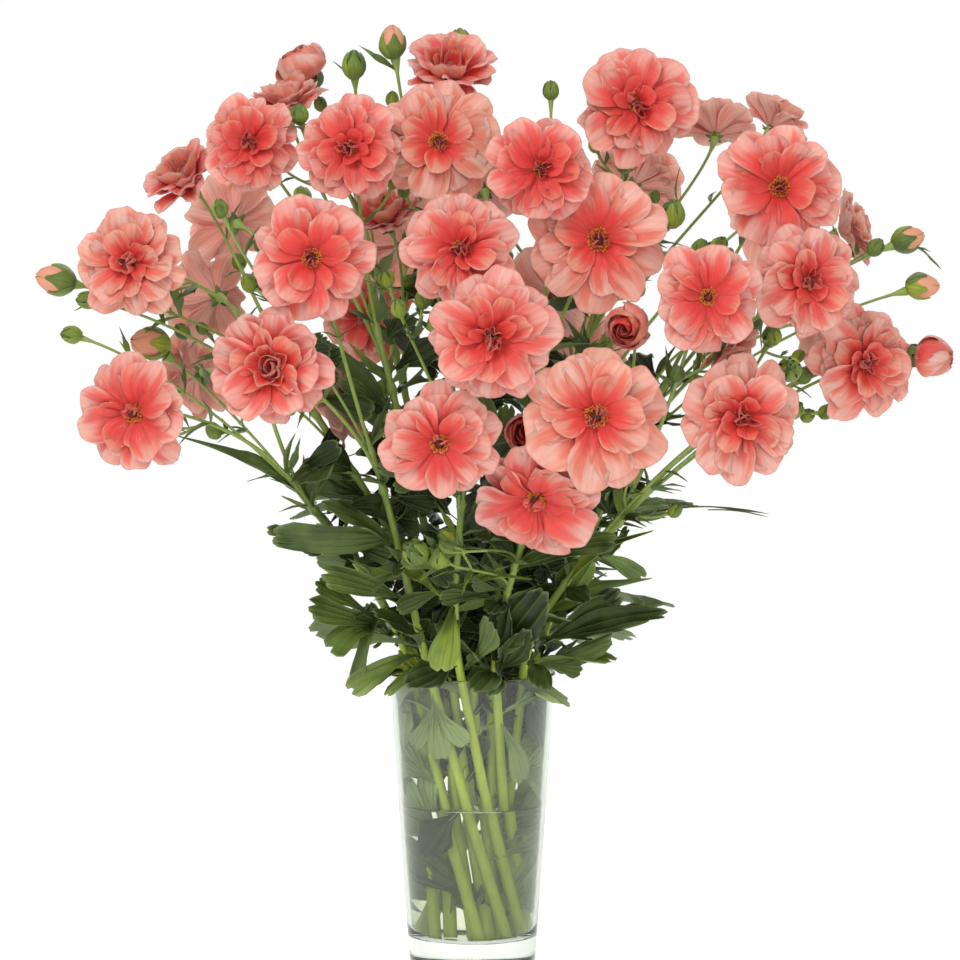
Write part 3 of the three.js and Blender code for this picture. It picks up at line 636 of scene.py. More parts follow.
class Pile:
    """Thin shells gathered into one mesh, with a value per point for the finishes to read."""

    def __init__(self):
        self.points, self.quads, self.uv, self.slots = [], [], [], []
        self.values = {"tint": [], "under": [], "out": []}
        self.count = 0

    def add(self, made, place=None, tint=0.5, slot=0, pressed=None):
        """Adds a shell, moved to its place, and pressed by a function of its points."""
        points, quads, uv, under = made
        if place is not None:
            matrix = np.array(place)
            points = points @ matrix[:3, :3].T + matrix[:3, 3]
        if pressed:
            points = pressed(points)
        self.points.append(points)
        self.quads.append(quads + self.count)
        self.uv.append(uv)
        self.slots.append(np.full(len(quads), slot))
        self.values["tint"].append(np.full(len(points), tint))
        self.values["under"].append(under)
        self.values["out"].append(uv[:, 1])
        self.count += len(points)

    def piece(self, name, *finishes):
        """A mesh object of all the shells."""
        mesh = bpy.data.meshes.new(name)
        quads = np.concatenate(self.quads)
        mesh.from_pydata(np.concatenate(self.points), [], quads.tolist(), shade_flat=False)
        corners = np.concatenate(self.uv)[quads.ravel()]
        mesh.uv_layers.new(name="UVMap").data.foreach_set("uv", corners.ravel())
        for label, values in self.values.items():
            mark(mesh, label, np.concatenate(values))
        for finish in finishes:
            mesh.materials.append(finish)
        mesh.polygons.foreach_set("material_index", np.concatenate(self.slots))
        mesh.set_sharp_from_angle(angle=math.radians(55))
        return linked(name, mesh)


def linked(name, data):
    piece = bpy.data.objects.new(name, data)
    bpy.context.scene.collection.objects.link(piece)
    return piece


def mark(mesh, label, values):
    """Stores a number for each point of a mesh, for the trees and the finishes to read."""
    values = np.full(len(mesh.vertices), values)
    mesh.attributes.new(label, "FLOAT", "POINT").data.foreach_set("value", values)


def smooth(t):
    t = np.clip(t, 0, 1)
    return t * t * (3 - 2 * t)


def across_and_along(columns, rows, start=0.0):
    """Over a grid of points: how far across, from -1 to 1, and how far along, from start to 1."""
    return np.meshgrid(np.linspace(-1, 1, columns), np.linspace(start, 1, rows))


# ---------------------------------------------------------------- petals
PETAL_COLUMNS, PETAL_ROWS = 13, 9
PETAL_THICKNESS = 0.012  # as a share of its length
VARIANTS = 4  # petals of each shape, no two folded alike

# Petal shapes: half width and the rounding of the end as shares of the length, how the sides turn
# up, how the blade arches up and then back at its tip, and the depth of its lengthwise folds.
PETALS = {
    "broad": {"half": 0.365, "end": 0.92, "cup": 0.05, "arch": 0.06, "back": 0.12, "fold": 0.026},
    "round": {"half": 0.37, "end": 0.95, "cup": 0.12, "arch": 0.02, "back": 0.07, "fold": 0.034},
    "spoon": {"half": 0.38, "end": 1.0, "cup": 0.24, "arch": -0.10, "back": 0.02, "fold": 0.03},
    "ribbon": {"half": 0.21, "end": 0.8, "cup": 0.55, "arch": -0.16, "back": -0.10, "fold": 0.05},
    "curled": {"half": 0.42, "end": 1.0, "cup": 0.32, "arch": -0.24, "back": -0.10, "fold": 0.02},
}


def petal_piece(name, half, end, cup, arch, back, fold, draw):
    """A petal of unit length along +Y, its upper face up: narrow root, broad rounded end."""
    s, v = across_and_along(PETAL_COLUMNS, PETAL_ROWS)
    u = np.sin(1.36 * s) / math.sin(1.36)
    swell = 0.24 + 0.76 * smooth(v / 0.8) ** 0.85
    notch = draw.uniform(0, 0.035) * np.exp(-(((u - draw.uniform(-0.3, 0.3)) / 0.16) ** 2))
    scallop = 0.012 * np.cos(7 * s + draw.uniform(0, 6))
    reach = 1 - half * end * (1 - np.sqrt(1 - (0.992 * u) ** 2)) - notch + scallop
    x = u * half * swell * draw.uniform(0.9, 1.08) + draw.uniform(-0.06, 0.06) * v**2
    y = v * reach
    folds = np.cos(draw.uniform(4, 6) * s + draw.uniform(0, 6))
    folds = folds + 0.6 * np.cos(9 * s + draw.uniform(0, 6))
    z = arch * np.sin(np.pi * v) - back * draw.uniform(0.5, 1.4) * smooth((v - 0.5) / 0.5)
    z = z + cup * draw.uniform(0.6, 1.3) * u**2 * swell + fold * folds * np.sin(np.pi * v * 0.8)
    edge = 0.022 * np.sin(draw.uniform(6, 9) * s + draw.uniform(0, 6)) * smooth((v - 0.6) / 0.4)
    pile = Pile()
    pile.add(shell(np.stack([x, y, z + edge], axis=-1), PETAL_THICKNESS))
    return pile.piece(name)


def petal_patterns():
    """For each shape, a collection of petals for the whorls to choose from."""
    draw = np.random.default_rng(SEED)
    patterns = {}
    for shape, sizes in PETALS.items():
        patterns[shape] = bpy.data.collections.new("petals_" + shape)
        for k in range(VARIANTS):
            petal = petal_piece(f"petal_{shape}_{k}", **sizes, draw=draw)
            bpy.context.scene.collection.objects.unlink(petal)
            patterns[shape].objects.link(petal)
    return patterns


# The whorls of each form, from the outermost: petals, the share of them that are there, degrees
# of rise, length as a share of the bloom's radius, the petal's shape, and its edge's ruffle in
# millimetres.
WHORLS = {
    "flat": [
        (10, 1.0, 3, 1.03, "broad", 4.4),
        (8, 1.0, 10, 0.88, "broad", 4.4),
        (6, 0.75, 19, 0.68, "round", 4.0),
        (7, 0.5, 55, 0.27, "ribbon", 3.4),
    ],
    "full": [
        (10, 1.0, 4, 1.03, "broad", 4.4),
        (9, 1.0, 12, 0.90, "broad", 4.4),
        (7, 0.95, 20, 0.74, "round", 4.2),
        (5, 0.85, 36, 0.50, "round", 3.8),
        (7, 0.8, 50, 0.36, "ribbon", 3.4),
        (4, 0.8, 66, 0.26, "ribbon", 3.0),
    ],
    "cup": [
        (9, 1.0, 9, 1.03, "round", 4.4),
        (8, 1.0, 19, 0.93, "round", 4.4),
        (6, 1.0, 31, 0.74, "round", 3.6),
        (5, 1.0, 48, 0.52, "spoon", 2.4),
        (4, 1.0, 58, 0.38, "curled", 1.6),
        (3, 1.0, 68, 0.28, "curled", 1.2),
    ],
    "bowl": [
        (7, 1.0, 20, 1.04, "round", 5.0),
        (6, 1.0, 36, 1.0, "round", 5.0),
        (5, 1.0, 52, 0.86, "spoon", 4.0),
        (5, 0.9, 64, 0.60, "spoon", 3.0),
        (4, 0.9, 72, 0.40, "ribbon", 3.0),
    ],
}
# How far out on its colours the innermost petals' tips are, and how wide its eye shows, where a
# flat bloom of EYE_RADIUS has an eye of full size.
INNER_SHARES = {"flat": 0.50, "full": 0.54, "cup": 0.78, "bowl": 0.7}
EYES = {"flat": 1.0, "full": 0.9, "cup": 0.45, "bowl": 0.7}
EYE_RADIUS = 36
GOLDEN_DEGREES = 137.5  # from one whorl's first petal to the next one's


def placed(piece, where, way):
    """Sets a piece that was made about the flower's axis in its place in the bunch."""
    piece.data.transform(Matrix.Translation(seen_at(where)) @ turned(way))
    return piece


def bloom_petals(name, radius, form, tone, spin, patterns, whorl, finish):
    """All the whorls of a bloom in one piece, made about the flower's axis."""
    piece = linked(name, bpy.data.meshes.new(name))
    for row, (count, kept, rise, share, shape, ruffle) in enumerate(WHORLS[form]):
        root = radius * (0.10 - 0.012 * row)
        wander = 1.0 if shape == "ribbon" else 0.3
        grown(
            piece, whorl,
            {
                "Petals": patterns[shape], "Count": count, "Kept": kept, "Root radius": root * MM,
                "Height": (0.5 + row * 0.5) * MM, "Length": (radius * share - root) * MM,
                "Rise": math.radians(rise), "Spin": math.radians(spin + row * GOLDEN_DEGREES),
                "Wander": wander * math.pi / count, "Ruffle": ruffle * MM * 2,
                "Share": max(share, INNER_SHARES[form]),
                "Finish": finish, "Seed": SEED + spin * 7 + row,
            },
        )
    settled(piece)
    mark(piece.data, "tone", tone)
    return piece


# ---------------------------------------------------------------- the eye of a bloom
def turned_piece(name, profile, sides, finish):
    """A profile of (radius, z) turned about Z, its two ends closed flat."""
    turn = np.linspace(0, 2 * np.pi, sides, endpoint=False)
    radii, heights = np.array(profile).T
    points = [np.outer(radii, np.cos(turn)), np.outer(radii, np.sin(turn))]
    points.append(np.outer(heights, np.ones(sides)))
    last = (len(profile) - 1) * sides
    faces = []
    for row in range(0, last, sides):
        for k in range(sides):
            a, b = row + k, row + (k + 1) % sides
            faces.append((a, b, b + sides, a + sides))
    faces += [tuple(range(sides))[::-1], tuple(range(last, last + sides))]
    mesh = bpy.data.meshes.new(name)
    mesh.from_pydata(np.stack(points, axis=-1).reshape(-1, 3), [], faces, shade_flat=False)
    mesh.materials.append(finish)
    return linked(name, mesh)


def organ(name, profile, sides, finish):
    """A turned piece of a flower, with the values that every flower's mesh has."""
    piece = turned_piece(name, profile, sides, finish)
    for label in ("tint", "under", "out"):
        mark(piece.data, label, 0.5)
    return piece


def stamen_pieces(filament_finish, anther_finish):
    """A filament, its anther at its end, and a carpel bead, with 1 mm to a unit."""
    filament = [(0.17, -0.4), (0.14, 1.6), (0.12, 3.3)]
    anther = [(0.12, 3.0), (0.48, 3.3), (0.58, 3.9), (0.42, 4.5), (0.08, 4.8)]
    carpel = [(0.1, -0.3), (0.5, 0.0), (0.42, 0.4), (0.1, 0.85)]
    return (
        organ("filament", filament, 4, filament_finish),
        organ("anther", anther, 6, anther_finish),
        organ("carpel", carpel, 5, filament_finish),
    )


def bloom_eye(name, radius, form, spin, pieces, spray, finishes):
    """Carpels in a dark dome, ringed by stamens that lean outwards."""
    filament, anther, carpel = pieces
    unit = radius / EYE_RADIUS * EYES[form] * MM
    dome = [(1.0, 0.3), (1.9, 1.4), (1.75, 2.7), (1.0, 3.4), (0.2, 3.7)]
    core = organ(name, dome, 12, finishes["carpel"])
    core.data.transform(Matrix.Diagonal((unit, unit, unit, 1)))
    grown(
        core, spray,
        {
            "Piece": carpel, "Count": 40, "From": 0.0, "To": 0.85, "Dome radius": 1.9 * unit,
            "Dome height": 2.7 * unit, "Height": unit, "Size": unit, "Lean": 1.0,
            "Finish": finishes["carpel"], "Seed": SEED + spin,
        },
    )
    # An outer ring leans out over the petals' roots, an inner one stands close round the dome.
    for count, size, lean in ((46, 1.0, 0.66), (28, 0.8, 0.34)):
        for piece, finish in ((filament, finishes["filament"]), (anther, finishes["anther"])):
            grown(
                core, spray,
                {
                    "Piece": piece, "Count": count, "From": 0.5, "To": 0.95,
                    "Dome radius": 2.6 * unit, "Dome height": 1.4 * unit, "Height": 0.8 * MM,
                    "Size": size * unit, "Lean": lean, "Finish": finish,
                    "Seed": SEED + spin + count,
                },
            )
    return settled(core)


# ---------------------------------------------------------------- leaves
# A leaf's blades: half width and what it keeps of that at its root, where along it is widest and
# how much it narrows after that, how round its end is, and the teeth of its end and their depth,
# as shares of the blade's own length.
BLADES = {
    "stalk": (0.028, 1.0, 0.5, 0.0, 0.0, 0, 0.0),
    "lance": (0.095, 0.35, 0.45, 0.82, 0.30, 0, 0.0),
    "strap": (0.125, 0.30, 0.45, 0.0, 0.07, 2, 0.07),
    "wedge": (0.185, 0.13, 0.90, 0.0, 0.10, 3, 0.065),
    "oval": (0.29, 0.12, 0.60, 0.10, 0.42, 7, 0.035),
    "smooth": (0.29, 0.20, 0.55, 0.15, 0.42, 0, 0.0),
    "grass": (0.014, 0.7, 0.40, 0.85, 0.20, 0, 0.0),
    "toothed": (0.185, 0.15, 0.55, 0.25, 0.50, 7, 0.05),
}
# Leaves, as their blades on the leaf's plane: where each starts and ends, as shares of the leaf's
# length and spread, its width and how it bends aside.
STALK = ("stalk", (-0.02, 0.0), (0.3, 0.0), 1.0, 0.0)
LEAVES = {
    "lobed": [
        STALK,
        ("wedge", (0.22, 0.0), (1.0, 0.0), 1.0, 0.0),
        ("wedge", (0.24, 0.02), (0.80, 0.82), 0.95, -0.05),
        ("wedge", (0.24, -0.02), (0.80, -0.82), 0.95, 0.05),
    ],
    "forked": [
        STALK,
        ("strap", (0.18, 0.0), (1.0, 0.0), 1.0, 0.0),
        ("wedge", (0.22, 0.02), (0.70, 0.66), 0.9, -0.04),
        ("lance", (0.22, -0.02), (0.62, -0.50), 1.2, 0.03),
    ],
    "strap": [("strap", (-0.02, 0.0), (1.0, 0.0), 1.0, 0.03)],
    "wedge": [STALK, ("wedge", (0.12, 0.0), (1.0, 0.0), 1.0, 0.02)],
    "oval": [STALK, ("oval", (0.14, 0.0), (1.0, 0.0), 1.0, 0.0)],
    "toothed": [
        STALK,
        ("toothed", (0.10, 0.0), (1.0, 0.0), 1.0, 0.04),
        ("toothed", (0.20, 0.05), (0.86, 0.42), 0.8, -0.04),
    ],
    "smooth": [STALK, ("smooth", (0.10, 0.0), (1.0, 0.0), 1.0, 0.0)],
    "bract": [
        ("lance", (-0.02, 0.0), (1.0, 0.0), 1.0, 0.03),
        ("lance", (0.10, 0.02), (0.60, 0.50), 1.1, 0.0),
    ],
    "lance": [("lance", (-0.02, 0.0), (1.0, 0.0), 1.0, 0.04)],
    "grass": [
        ("grass", (-0.02, 0.0), (1.0, 0.0), 1.0, 0.06),
        ("grass", (0.58, 0.0), (0.96, -0.30), 1.6, 0.05),
    ],
}
LEAF_SPREAD = 0.36  # how far a lobed leaf's blades stand apart
LEAF_THICKNESS = 0.55
PALEST_STALK = 0.55  # a leaf's stalk is at least as yellow-green as this


def blade_plane(start, end, blade, wide, bend, draw):
    """A blade on its leaf's own plane, with its across and along shares and its half width."""
    half, root, widest, narrowing, rounded, teeth, depth = BLADES[blade]
    if teeth > 2:
        teeth = int(draw.integers(teeth - 1, teeth + 1))
    columns, rows = (3, 4) if blade == "stalk" else (max(7, 4 * teeth + 1), 9)
    s, v = np.meshgrid(np.linspace(1, -1, columns), np.linspace(0, 1, rows))
    start, end = np.array(start, float), np.array(end, float)
    way = end - start
    length = math.hypot(*way)
    aside = np.array([-way[1], way[0]]) / length
    width = half * length * wide * (root + (1 - root) * smooth(v / widest))
    width = width * (1 - narrowing * smooth((v - widest) / (1 - widest)))
    short = rounded * np.abs(s) ** 2.2
    if teeth:
        notch = (1 - np.abs(np.sin((s * teeth + teeth % 2) * np.pi / 2))) ** 1.2
        short = short + depth * notch * (1 + 0.5 * np.sin(3 * s + draw.uniform(0, 6)))
    x = v * (1 - short * smooth((v - 0.3) / 0.7)) * length
    y = s * width + bend * np.sin(np.pi * v) * length
    plane = start + x[..., None] * way / length + y[..., None] * aside
    return plane, s, v, half * length * wide


def leaf(pile, root, tip, shows, wide, tint, draw, kind="lobed", pressed=None):
    """A leaf from root to tip, its upper face turned one way: arched, and creased by its veins."""
    along = tip - root
    length = along.length
    along.normalize()
    normal = facing(shows)
    normal = (normal - along * normal.dot(along)).normalized()
    across = normal.cross(along)
    place = Matrix((along, across, normal)).transposed().to_4x4()
    place.translation = root
    droop, sway = draw.uniform(0.18, 0.36), draw.uniform(-0.08, 0.08)
    spread = LEAF_SPREAD * wide
    for blade, start, end, width, bend in LEAVES[kind]:
        jitter, lift = draw.uniform(0.90, 1.03), draw.uniform(-0.06, 0.08)
        crease = draw.uniform(0.1, 0.45)
        tip_at = start[0] + (end[0] - start[0]) * jitter
        plane, s, v, half = blade_plane(
            (start[0], start[1] * spread), (tip_at, end[1] * spread), blade,
            width * (0.45 + 0.55 * wide), bend + draw.uniform(-0.03, 0.03), draw,
        )
        x, y = plane[..., 0], plane[..., 1]
        z = 0.20 * x - droop * x**2 + sway * y - 0.18 * y**2 + lift * v**2
        if blade != "stalk":
            z = z + crease * half * np.abs(s) * np.sin(np.pi * v**0.8)
            z = z + 0.06 * half * np.cos(4 * np.pi * s) * smooth(v / 0.3)
            z = z + 0.12 * half * np.sin(draw.uniform(5, 8) * v + draw.uniform(0, 6)) * s
        shade = np.clip(tint + draw.uniform(-0.06, 0.06), 0, 1)
        shade = max(shade, PALEST_STALK) if blade == "stalk" else shade
        grid = np.stack([x, y, z], axis=-1) * length
        pile.add(shell(grid, LEAF_THICKNESS * MM), place, tint=shade, pressed=pressed)


# ---------------------------------------------------------------- buds
BUD_WIDEST = 0.42  # how far up a bud is widest
# Points across and along each petal or sepal of a bud, and the radius, in millimetres, from which a
# closed bud shows a dome of petals.
BUD_MESH, SMALL_BUD_MESH = (9, 11), (6, 7)
SHOWING_RADIUS = 8.2
BUD_LENGTH = 2.6  # of a closed bud, in radii
SEPALS = 5
SEPAL_THICKNESS, BUD_PETAL_THICKNESS, BUD_SKIN_THICKNESS = 0.5, 0.35, 0.3


def egg(v):
    """A bud's own outline: its radius as a share of its widest, from its foot to its round top."""
    foot = 0.3 + 0.7 * np.sin(np.clip(v / BUD_WIDEST, 0, 1) * np.pi / 2) ** 0.8
    dome = np.sqrt(np.clip(1 - (np.clip(v - BUD_WIDEST, 0, 1) / (1.004 - BUD_WIDEST)) ** 2, 0, 1))
    return foot * dome


def wrapped(
    radius, length, top, half, scale=1.0, wind=0.0, point=0.0, flare=0.0, turn=0.0, dip=0.14,
    mesh=BUD_MESH,
):
    """A petal or sepal wrapped round a bud: part of the bud's skin, winding in on one side."""
    u, v = across_and_along(*mesh, start=0.02)
    out = radius * scale * egg(v * top) * (1 + wind * u * smooth(v / 0.3))
    out = out + radius * flare * smooth((v - 0.55) / 0.45) * (1 - 0.5 * np.abs(u))
    span = half * (1 - point * smooth((v - 0.3) / 0.7))
    z = length * top * (v - dip * np.abs(u) ** 2 * v**2)
    return np.stack([out * np.cos(turn + u * span), out * np.sin(turn + u * span), z], axis=-1)


# The rows of a bud that shows its petals, from the outermost: petals, how wide they stand, and
# how far out on a bloom's colours they are.
BUD_ROWS = [
    (3, 1.05, 0.92), (3, 0.98, 0.8), (3, 0.86, 0.62), (3, 0.68, 0.5), (3, 0.48, 0.42),
    (2, 0.28, 0.34),
]


def bud_petals(name, radius, length, tone, opened, finish, draw):
    """A bud coming into flower: petals wound round each other, the outer ones letting go."""
    pile = Pile()
    shares = []
    for row, (count, scale, share) in enumerate(BUD_ROWS):
        for k in range(count):
            top = 0.97 - opened * (0.15 - 0.012 * row) - draw.uniform(0, 0.05)
            flare = opened * (0.10 if row < 2 else 0.02) + draw.uniform(-0.04, 0.04)
            half = 1.2 * math.pi / count + draw.uniform(0, 0.25)
            turn = 2 * math.pi * k / count + row * 1.35 + draw.uniform(-0.2, 0.2)
            grid = wrapped(radius, length, top, half, scale, 0.15, 0.15, flare, turn, 0.26)
            # Its free edge folds over here and there, in flat facets as paper would.
            u, v = across_and_along(*BUD_MESH)
            facets = np.abs(np.mod(u * draw.uniform(1.2, 1.8) + draw.uniform(0, 2), 2) - 1) - 0.5
            grid[..., :2] *= (1 + 0.22 * opened * facets * smooth((v - 0.3) / 0.7))[..., None]
            made = shell(grid * MM, BUD_PETAL_THICKNESS * MM)
            made[2][:, 1] = 0.5 + 0.5 * made[2][:, 1]  # all of it as pale as a petal's outer half
            pile.add(made, tint=draw.uniform(0, 1))
            shares.append(np.full(len(made[0]), share))
    piece = pile.piece(name, finish)
    mark(piece.data, "tone", tone)
    mark(piece.data, "share", np.concatenate(shares))
    return piece


def closed_bud(pile, tip, way, radius, draw):
    """A bud still held in its sepals: a large one shows a dome of petals, a small one is green."""
    length = radius * BUD_LENGTH
    showing = radius > SHOWING_RADIUS
    mesh = BUD_MESH if showing else SMALL_BUD_MESH
    place = Matrix.Translation(tip - facing(way) * length * MM) @ turned(way, draw.uniform(0, 360))
    for k in range(4):
        scale = 0.93 if showing else 0.84
        grid = wrapped(radius, length, 1.0, 1.0, scale, 0.05, turn=k * math.pi / 2, mesh=mesh)
        shade = (0.95 if showing else 0.6) + draw.uniform(-0.15, 0.1)
        made = shell(grid * MM, BUD_SKIN_THICKNESS * MM)
        pile.add(made, place, tint=shade, slot=1 if showing else 0)
    for k in range(SEPALS):
        top = draw.uniform(0.64, 0.8) if showing else draw.uniform(0.9, 0.97)
        grid = wrapped(
            radius, length, top, 0.8, 1.02, 0.03, 0.7 if showing else 0.5, 0.02,
            k * 2 * math.pi / SEPALS, mesh=mesh,
        )
        pile.add(shell(grid * MM, SEPAL_THICKNESS * MM), place, tint=draw.uniform(0.5, 0.95))


def calyx(pile, where, way, size, spread, draw):
    """Five small sepals behind an open flower or round the foot of a bud."""
    spin = draw.uniform(0, 360)
    for k in range(SEPALS):
        u, v = across_and_along(5, 8)
        width = 0.27 * np.sqrt(np.clip(np.sin(np.pi * (0.12 + 0.86 * v)), 0.02, 1)) * (1.15 - 0.5 * v)
        bent = spread * smooth(v)
        x = (0.10 + v * np.cos(bent) * 0.9) * size
        z = (-0.30 + v * np.sin(bent) * 0.9 - 0.06 * (1 - u**2)) * size
        grid = np.stack([x, u * width * size, z], axis=-1) * MM
        turn = math.radians(spin + 360 / SEPALS * k + draw.uniform(-8, 8))
        place = Matrix.Translation(where) @ turned(way) @ Matrix.Rotation(turn, 4, "Z")
        pile.add(shell(grid, SEPAL_THICKNESS * MM), place, tint=draw.uniform(0.4, 0.7))


# ---------------------------------------------------------------- finishes
def value_of(tree, name):
    return node(tree, "ShaderNodeAttribute", attribute_name=name)["Fac"]


def ramp(factor, stops):
    """Colours along a factor, each at its own position."""
    made = node(factor.tree, "ShaderNodeValToRGB", {0: factor})
    elements = made.socket.node.color_ramp.elements
    while len(elements) < len(stops):
        elements.new(0.5)
    for element, (position, colour) in zip(elements, stops):
        element.position = position
        element.color = (*colour, 1)
    return made


def blend(factor, a, b):
    """From colour a to colour b as the factor goes from 0 to 1."""
    a, b = ((*end, 1) if isinstance(end, tuple) else end for end in (a, b))
    return node(factor.tree, "ShaderNodeMix", {0: factor, 6: a, 7: b}, data_type="RGBA")[2]


def noise(tree, where, scale=1.0, detail=3.0, rough=0.5, **settings):
    inputs = {"Vector": where, "Scale": scale, "Detail": detail, "Roughness": rough}
    return node(tree, "ShaderNodeTexNoise", inputs, **settings)


def veins_group():
    """Fine lines that fan out from a blade's root, as its own across and along run."""
    tree, given, result = open_tree(
        "fanned_veins", "ShaderNodeTree",
        {"Place": "Vector", "Count": "Float", "Seed": "Float"},
        {"Lines": "Float", "Streaks": "Float"},
    )
    parts = node(tree, "ShaderNodeSeparateXYZ", {0: given["Place"]})
    across, along, seed = (parts[0] - 0.5) * given["Count"], parts[1] * 1.6, given["Seed"]
    fine = noise(tree, vector(tree, across, along, seed * 19.0), rough=0.6)
    feed(result["Lines"], fine.between(0.35, 0.65))
    broad = noise(tree, vector(tree, across * 0.11, along, seed * 31.0), detail=1.5)
    feed(result["Streaks"], broad.between(0.38, 0.72))
    return tree


def mottle_group():
    """Soft uneven patches over a living surface, by where they are on the piece."""
    tree, given, result = open_tree(
        "living_mottle", "ShaderNodeTree",
        {"Scale": "Float", "Seed": "Float"}, {"Patches": "Float"},
    )
    patches = noise(tree, place_on_piece(tree), given["Scale"], noise_dimensions="4D")
    feed(patches.socket.node.inputs["W"], given["Seed"])
    feed(result["Patches"], patches.between(0.3, 0.7))
    return tree


def place_on_piece(tree):
    return node(tree, "ShaderNodeTexCoord")["Object"]


def finish_of(name, **settings):
    """A material with its Principled shader, plain sockets set by name."""
    material = bpy.data.materials.new(name)
    material.use_nodes = True
    shader = material.node_tree.nodes["Principled BSDF"]
    for label, value in settings.items():
        shader.inputs[label.replace("_", " ")].default_value = value
    return material, material.node_tree, shader.inputs


def grouped(tree, group, **inputs):
    return node(tree, "ShaderNodeGroup", inputs, node_tree=group)


def raised(shader, height, strength, distance):
    """Bumps a surface by a height that changes over it."""
    inputs = {"Strength": strength, "Distance": distance, "Height": height}
    feed(shader["Normal"], node(height.tree, "ShaderNodeBump", inputs))


def blade_parts(tree, veins, count):
    """Places on a petal or leaf: its lines and streaks, and its own across and along shares."""
    uv = node(tree, "ShaderNodeUVMap", uv_map="UVMap")
    parts = node(tree, "ShaderNodeSeparateXYZ", {0: uv})
    return grouped(tree, veins, Place=uv, Count=count, Seed=value_of(tree, "tint")), parts


def rim_of(parts, start):
    """1 along the sides and the tip of a blade, from 0 at that share of the way out."""
    near_side = (parts[0] - 0.5).math("ABSOLUTE") * 2.0
    return near_side.math("MAXIMUM", parts[1]).between(start, 1.0)


def petal_finish(veins, mottle):
    """Thin satin petals: deep coral at the flower's middle, salmon, then pale pink at the rim.
    Some light comes through them."""
    material, tree, shader = finish_of(
        "petal_satin", Roughness=0.5, Sheen_Weight=0.15, Sheen_Roughness=0.35,
        Specular_IOR_Level=0.42, Subsurface_Weight=0.4, Subsurface_Radius=(1.0, 0.45, 0.38),
        Subsurface_Scale=0.003,
    )
    tint, share, tone = (value_of(tree, label) for label in ("tint", "share", "tone"))
    lines, parts = blade_parts(tree, veins, 46.0)
    streaks_and_sheen = lines["Streaks"]
    # How far out from the flower's middle, with each flower's, petal's and streak's own shift.
    out = parts[1] * share + tone * -0.14
    out = out + tint.between(0.0, 1.0, -0.12, 0.12) + streaks_and_sheen.between(0.0, 1.0, -0.06, 0.06)
    colour = ramp(
        out,
        [
            (0.0, (0.72, 0.020, 0.018)),
            (0.16, (0.78, 0.026, 0.023)),
            (0.40, (0.80, 0.038, 0.031)),
            (0.58, (0.75, 0.082, 0.068)),
            (0.76, (0.72, 0.155, 0.124)),
            (0.96, (0.70, 0.24, 0.192)),
        ],
    )
    # The outer petals are paler beneath, as their own colour, and lifted further as painted light for
    # backs turned away from the lamps; the inner ones nearly as deep as above.
    lifted_underside = blend(tint, (0.95, 0.59, 0.49), (0.88, 0.42, 0.33))
    beneath = share.between(0.5, 0.95, 0.1, 0.75)
    colour = blend(value_of(tree, "under") * beneath, colour, lifted_underside)
    # The second row's ends are peach where the outermost's are pink, and a pale bloom's are all so.
    inner = share.between(0.74, 0.98, 1.0, 0.0)
    peach = inner.math("MAXIMUM", tone.between(-0.7, 0.1, 0.8, 0.0))
    peach = peach * out.between(0.40, 0.72) * tint.between(0.1, 0.7, 0.25, 0.8)
    colour = blend(peach, colour, (0.70, 0.235, 0.12))
    colour = blend(lines["Lines"] * 0.34, colour, (0.69, 0.070, 0.055))
    # Towards the rim the broad streaks are blended whitish: a painted satin highlight, on top of the
    # streaks' own shift in colour above.
    colour = blend(streaks_and_sheen * out.between(0.5, 0.95, 0.0, 0.5), colour, (0.86, 0.57, 0.49))
    # Darker sides and tip: partly the petal's own darker edge, partly painted shade where one petal
    # lies over the next.
    rim = rim_of(parts, 0.965) * share.between(0.45, 0.85, 0.1, 0.5)
    colour = blend(rim, colour, (0.56, 0.10, 0.07))
    patches = grouped(tree, mottle, Scale=70.0, Seed=tone)
    feed(shader["Base Color"], blend(patches * 0.12, colour, (0.72, 0.20, 0.14)))
    feed(shader["Roughness"], lines["Lines"].between(0.0, 1.0, 0.33, 0.55))
    raised(shader, lines["Lines"], 0.45, 0.0006)
    return material


def leaf_finish(veins, mottle):
    """Leaves: dark olive green with pale ribs that fan from the stalk, lighter beneath."""
    material, tree, shader = finish_of("leaf_green", Roughness=0.5, Specular_IOR_Level=0.32)
    tint = value_of(tree, "tint")
    lines, parts = blade_parts(tree, veins, 16.0)
    patches = grouped(tree, mottle, Scale=45.0, Seed=2.0)
    colour = ramp(
        tint + patches.between(0.0, 1.0, -0.12, 0.12),
        [
            (0.0, (0.014, 0.025, 0.004)),
            (0.25, (0.038, 0.066, 0.011)),
            (0.5, (0.100, 0.154, 0.034)),
            (0.75, (0.19, 0.27, 0.034)),
            (1.0, (0.36, 0.41, 0.035)),
        ],
    )
    # Ribs run out from the stalk along each lobe's creases, and finer ones between them.
    ribs = (parts[0] * 4.0).math("PINGPONG", 0.5).between(0.02, 0.13, 1.0, 0.0)
    colour = blend(ribs * 0.16, colour, (0.22, 0.30, 0.08))
    colour = blend(lines["Lines"] * 0.25, colour, (0.022, 0.040, 0.007))
    colour = blend(value_of(tree, "under") * 0.55, colour, (0.16, 0.235, 0.085))
    # Paler sides and tip: a painted rim highlight.
    colour = blend(rim_of(parts, 0.93) * 0.4, colour, (0.26, 0.33, 0.13))
    # Low down, in the vase, they are painted paler: painted light, standing in for the light that
    # reaches them through the glass and water.
    height = node(tree, "ShaderNodeSeparateXYZ", {0: place_on_piece(tree)})[2]
    painted_vase_light = height.between(0.172, 0.196, 1.0, 0.0) * tint.between(0.0, 0.9, 0.1, 0.85)
    feed(shader["Base Color"], blend(painted_vase_light, colour, (0.42, 0.55, 0.23)))
    feed(shader["Roughness"], patches.between(0.0, 1.0, 0.34, 0.55))
    raised(shader, ribs - lines["Lines"] * 0.3, 0.6, 0.0008)
    return material


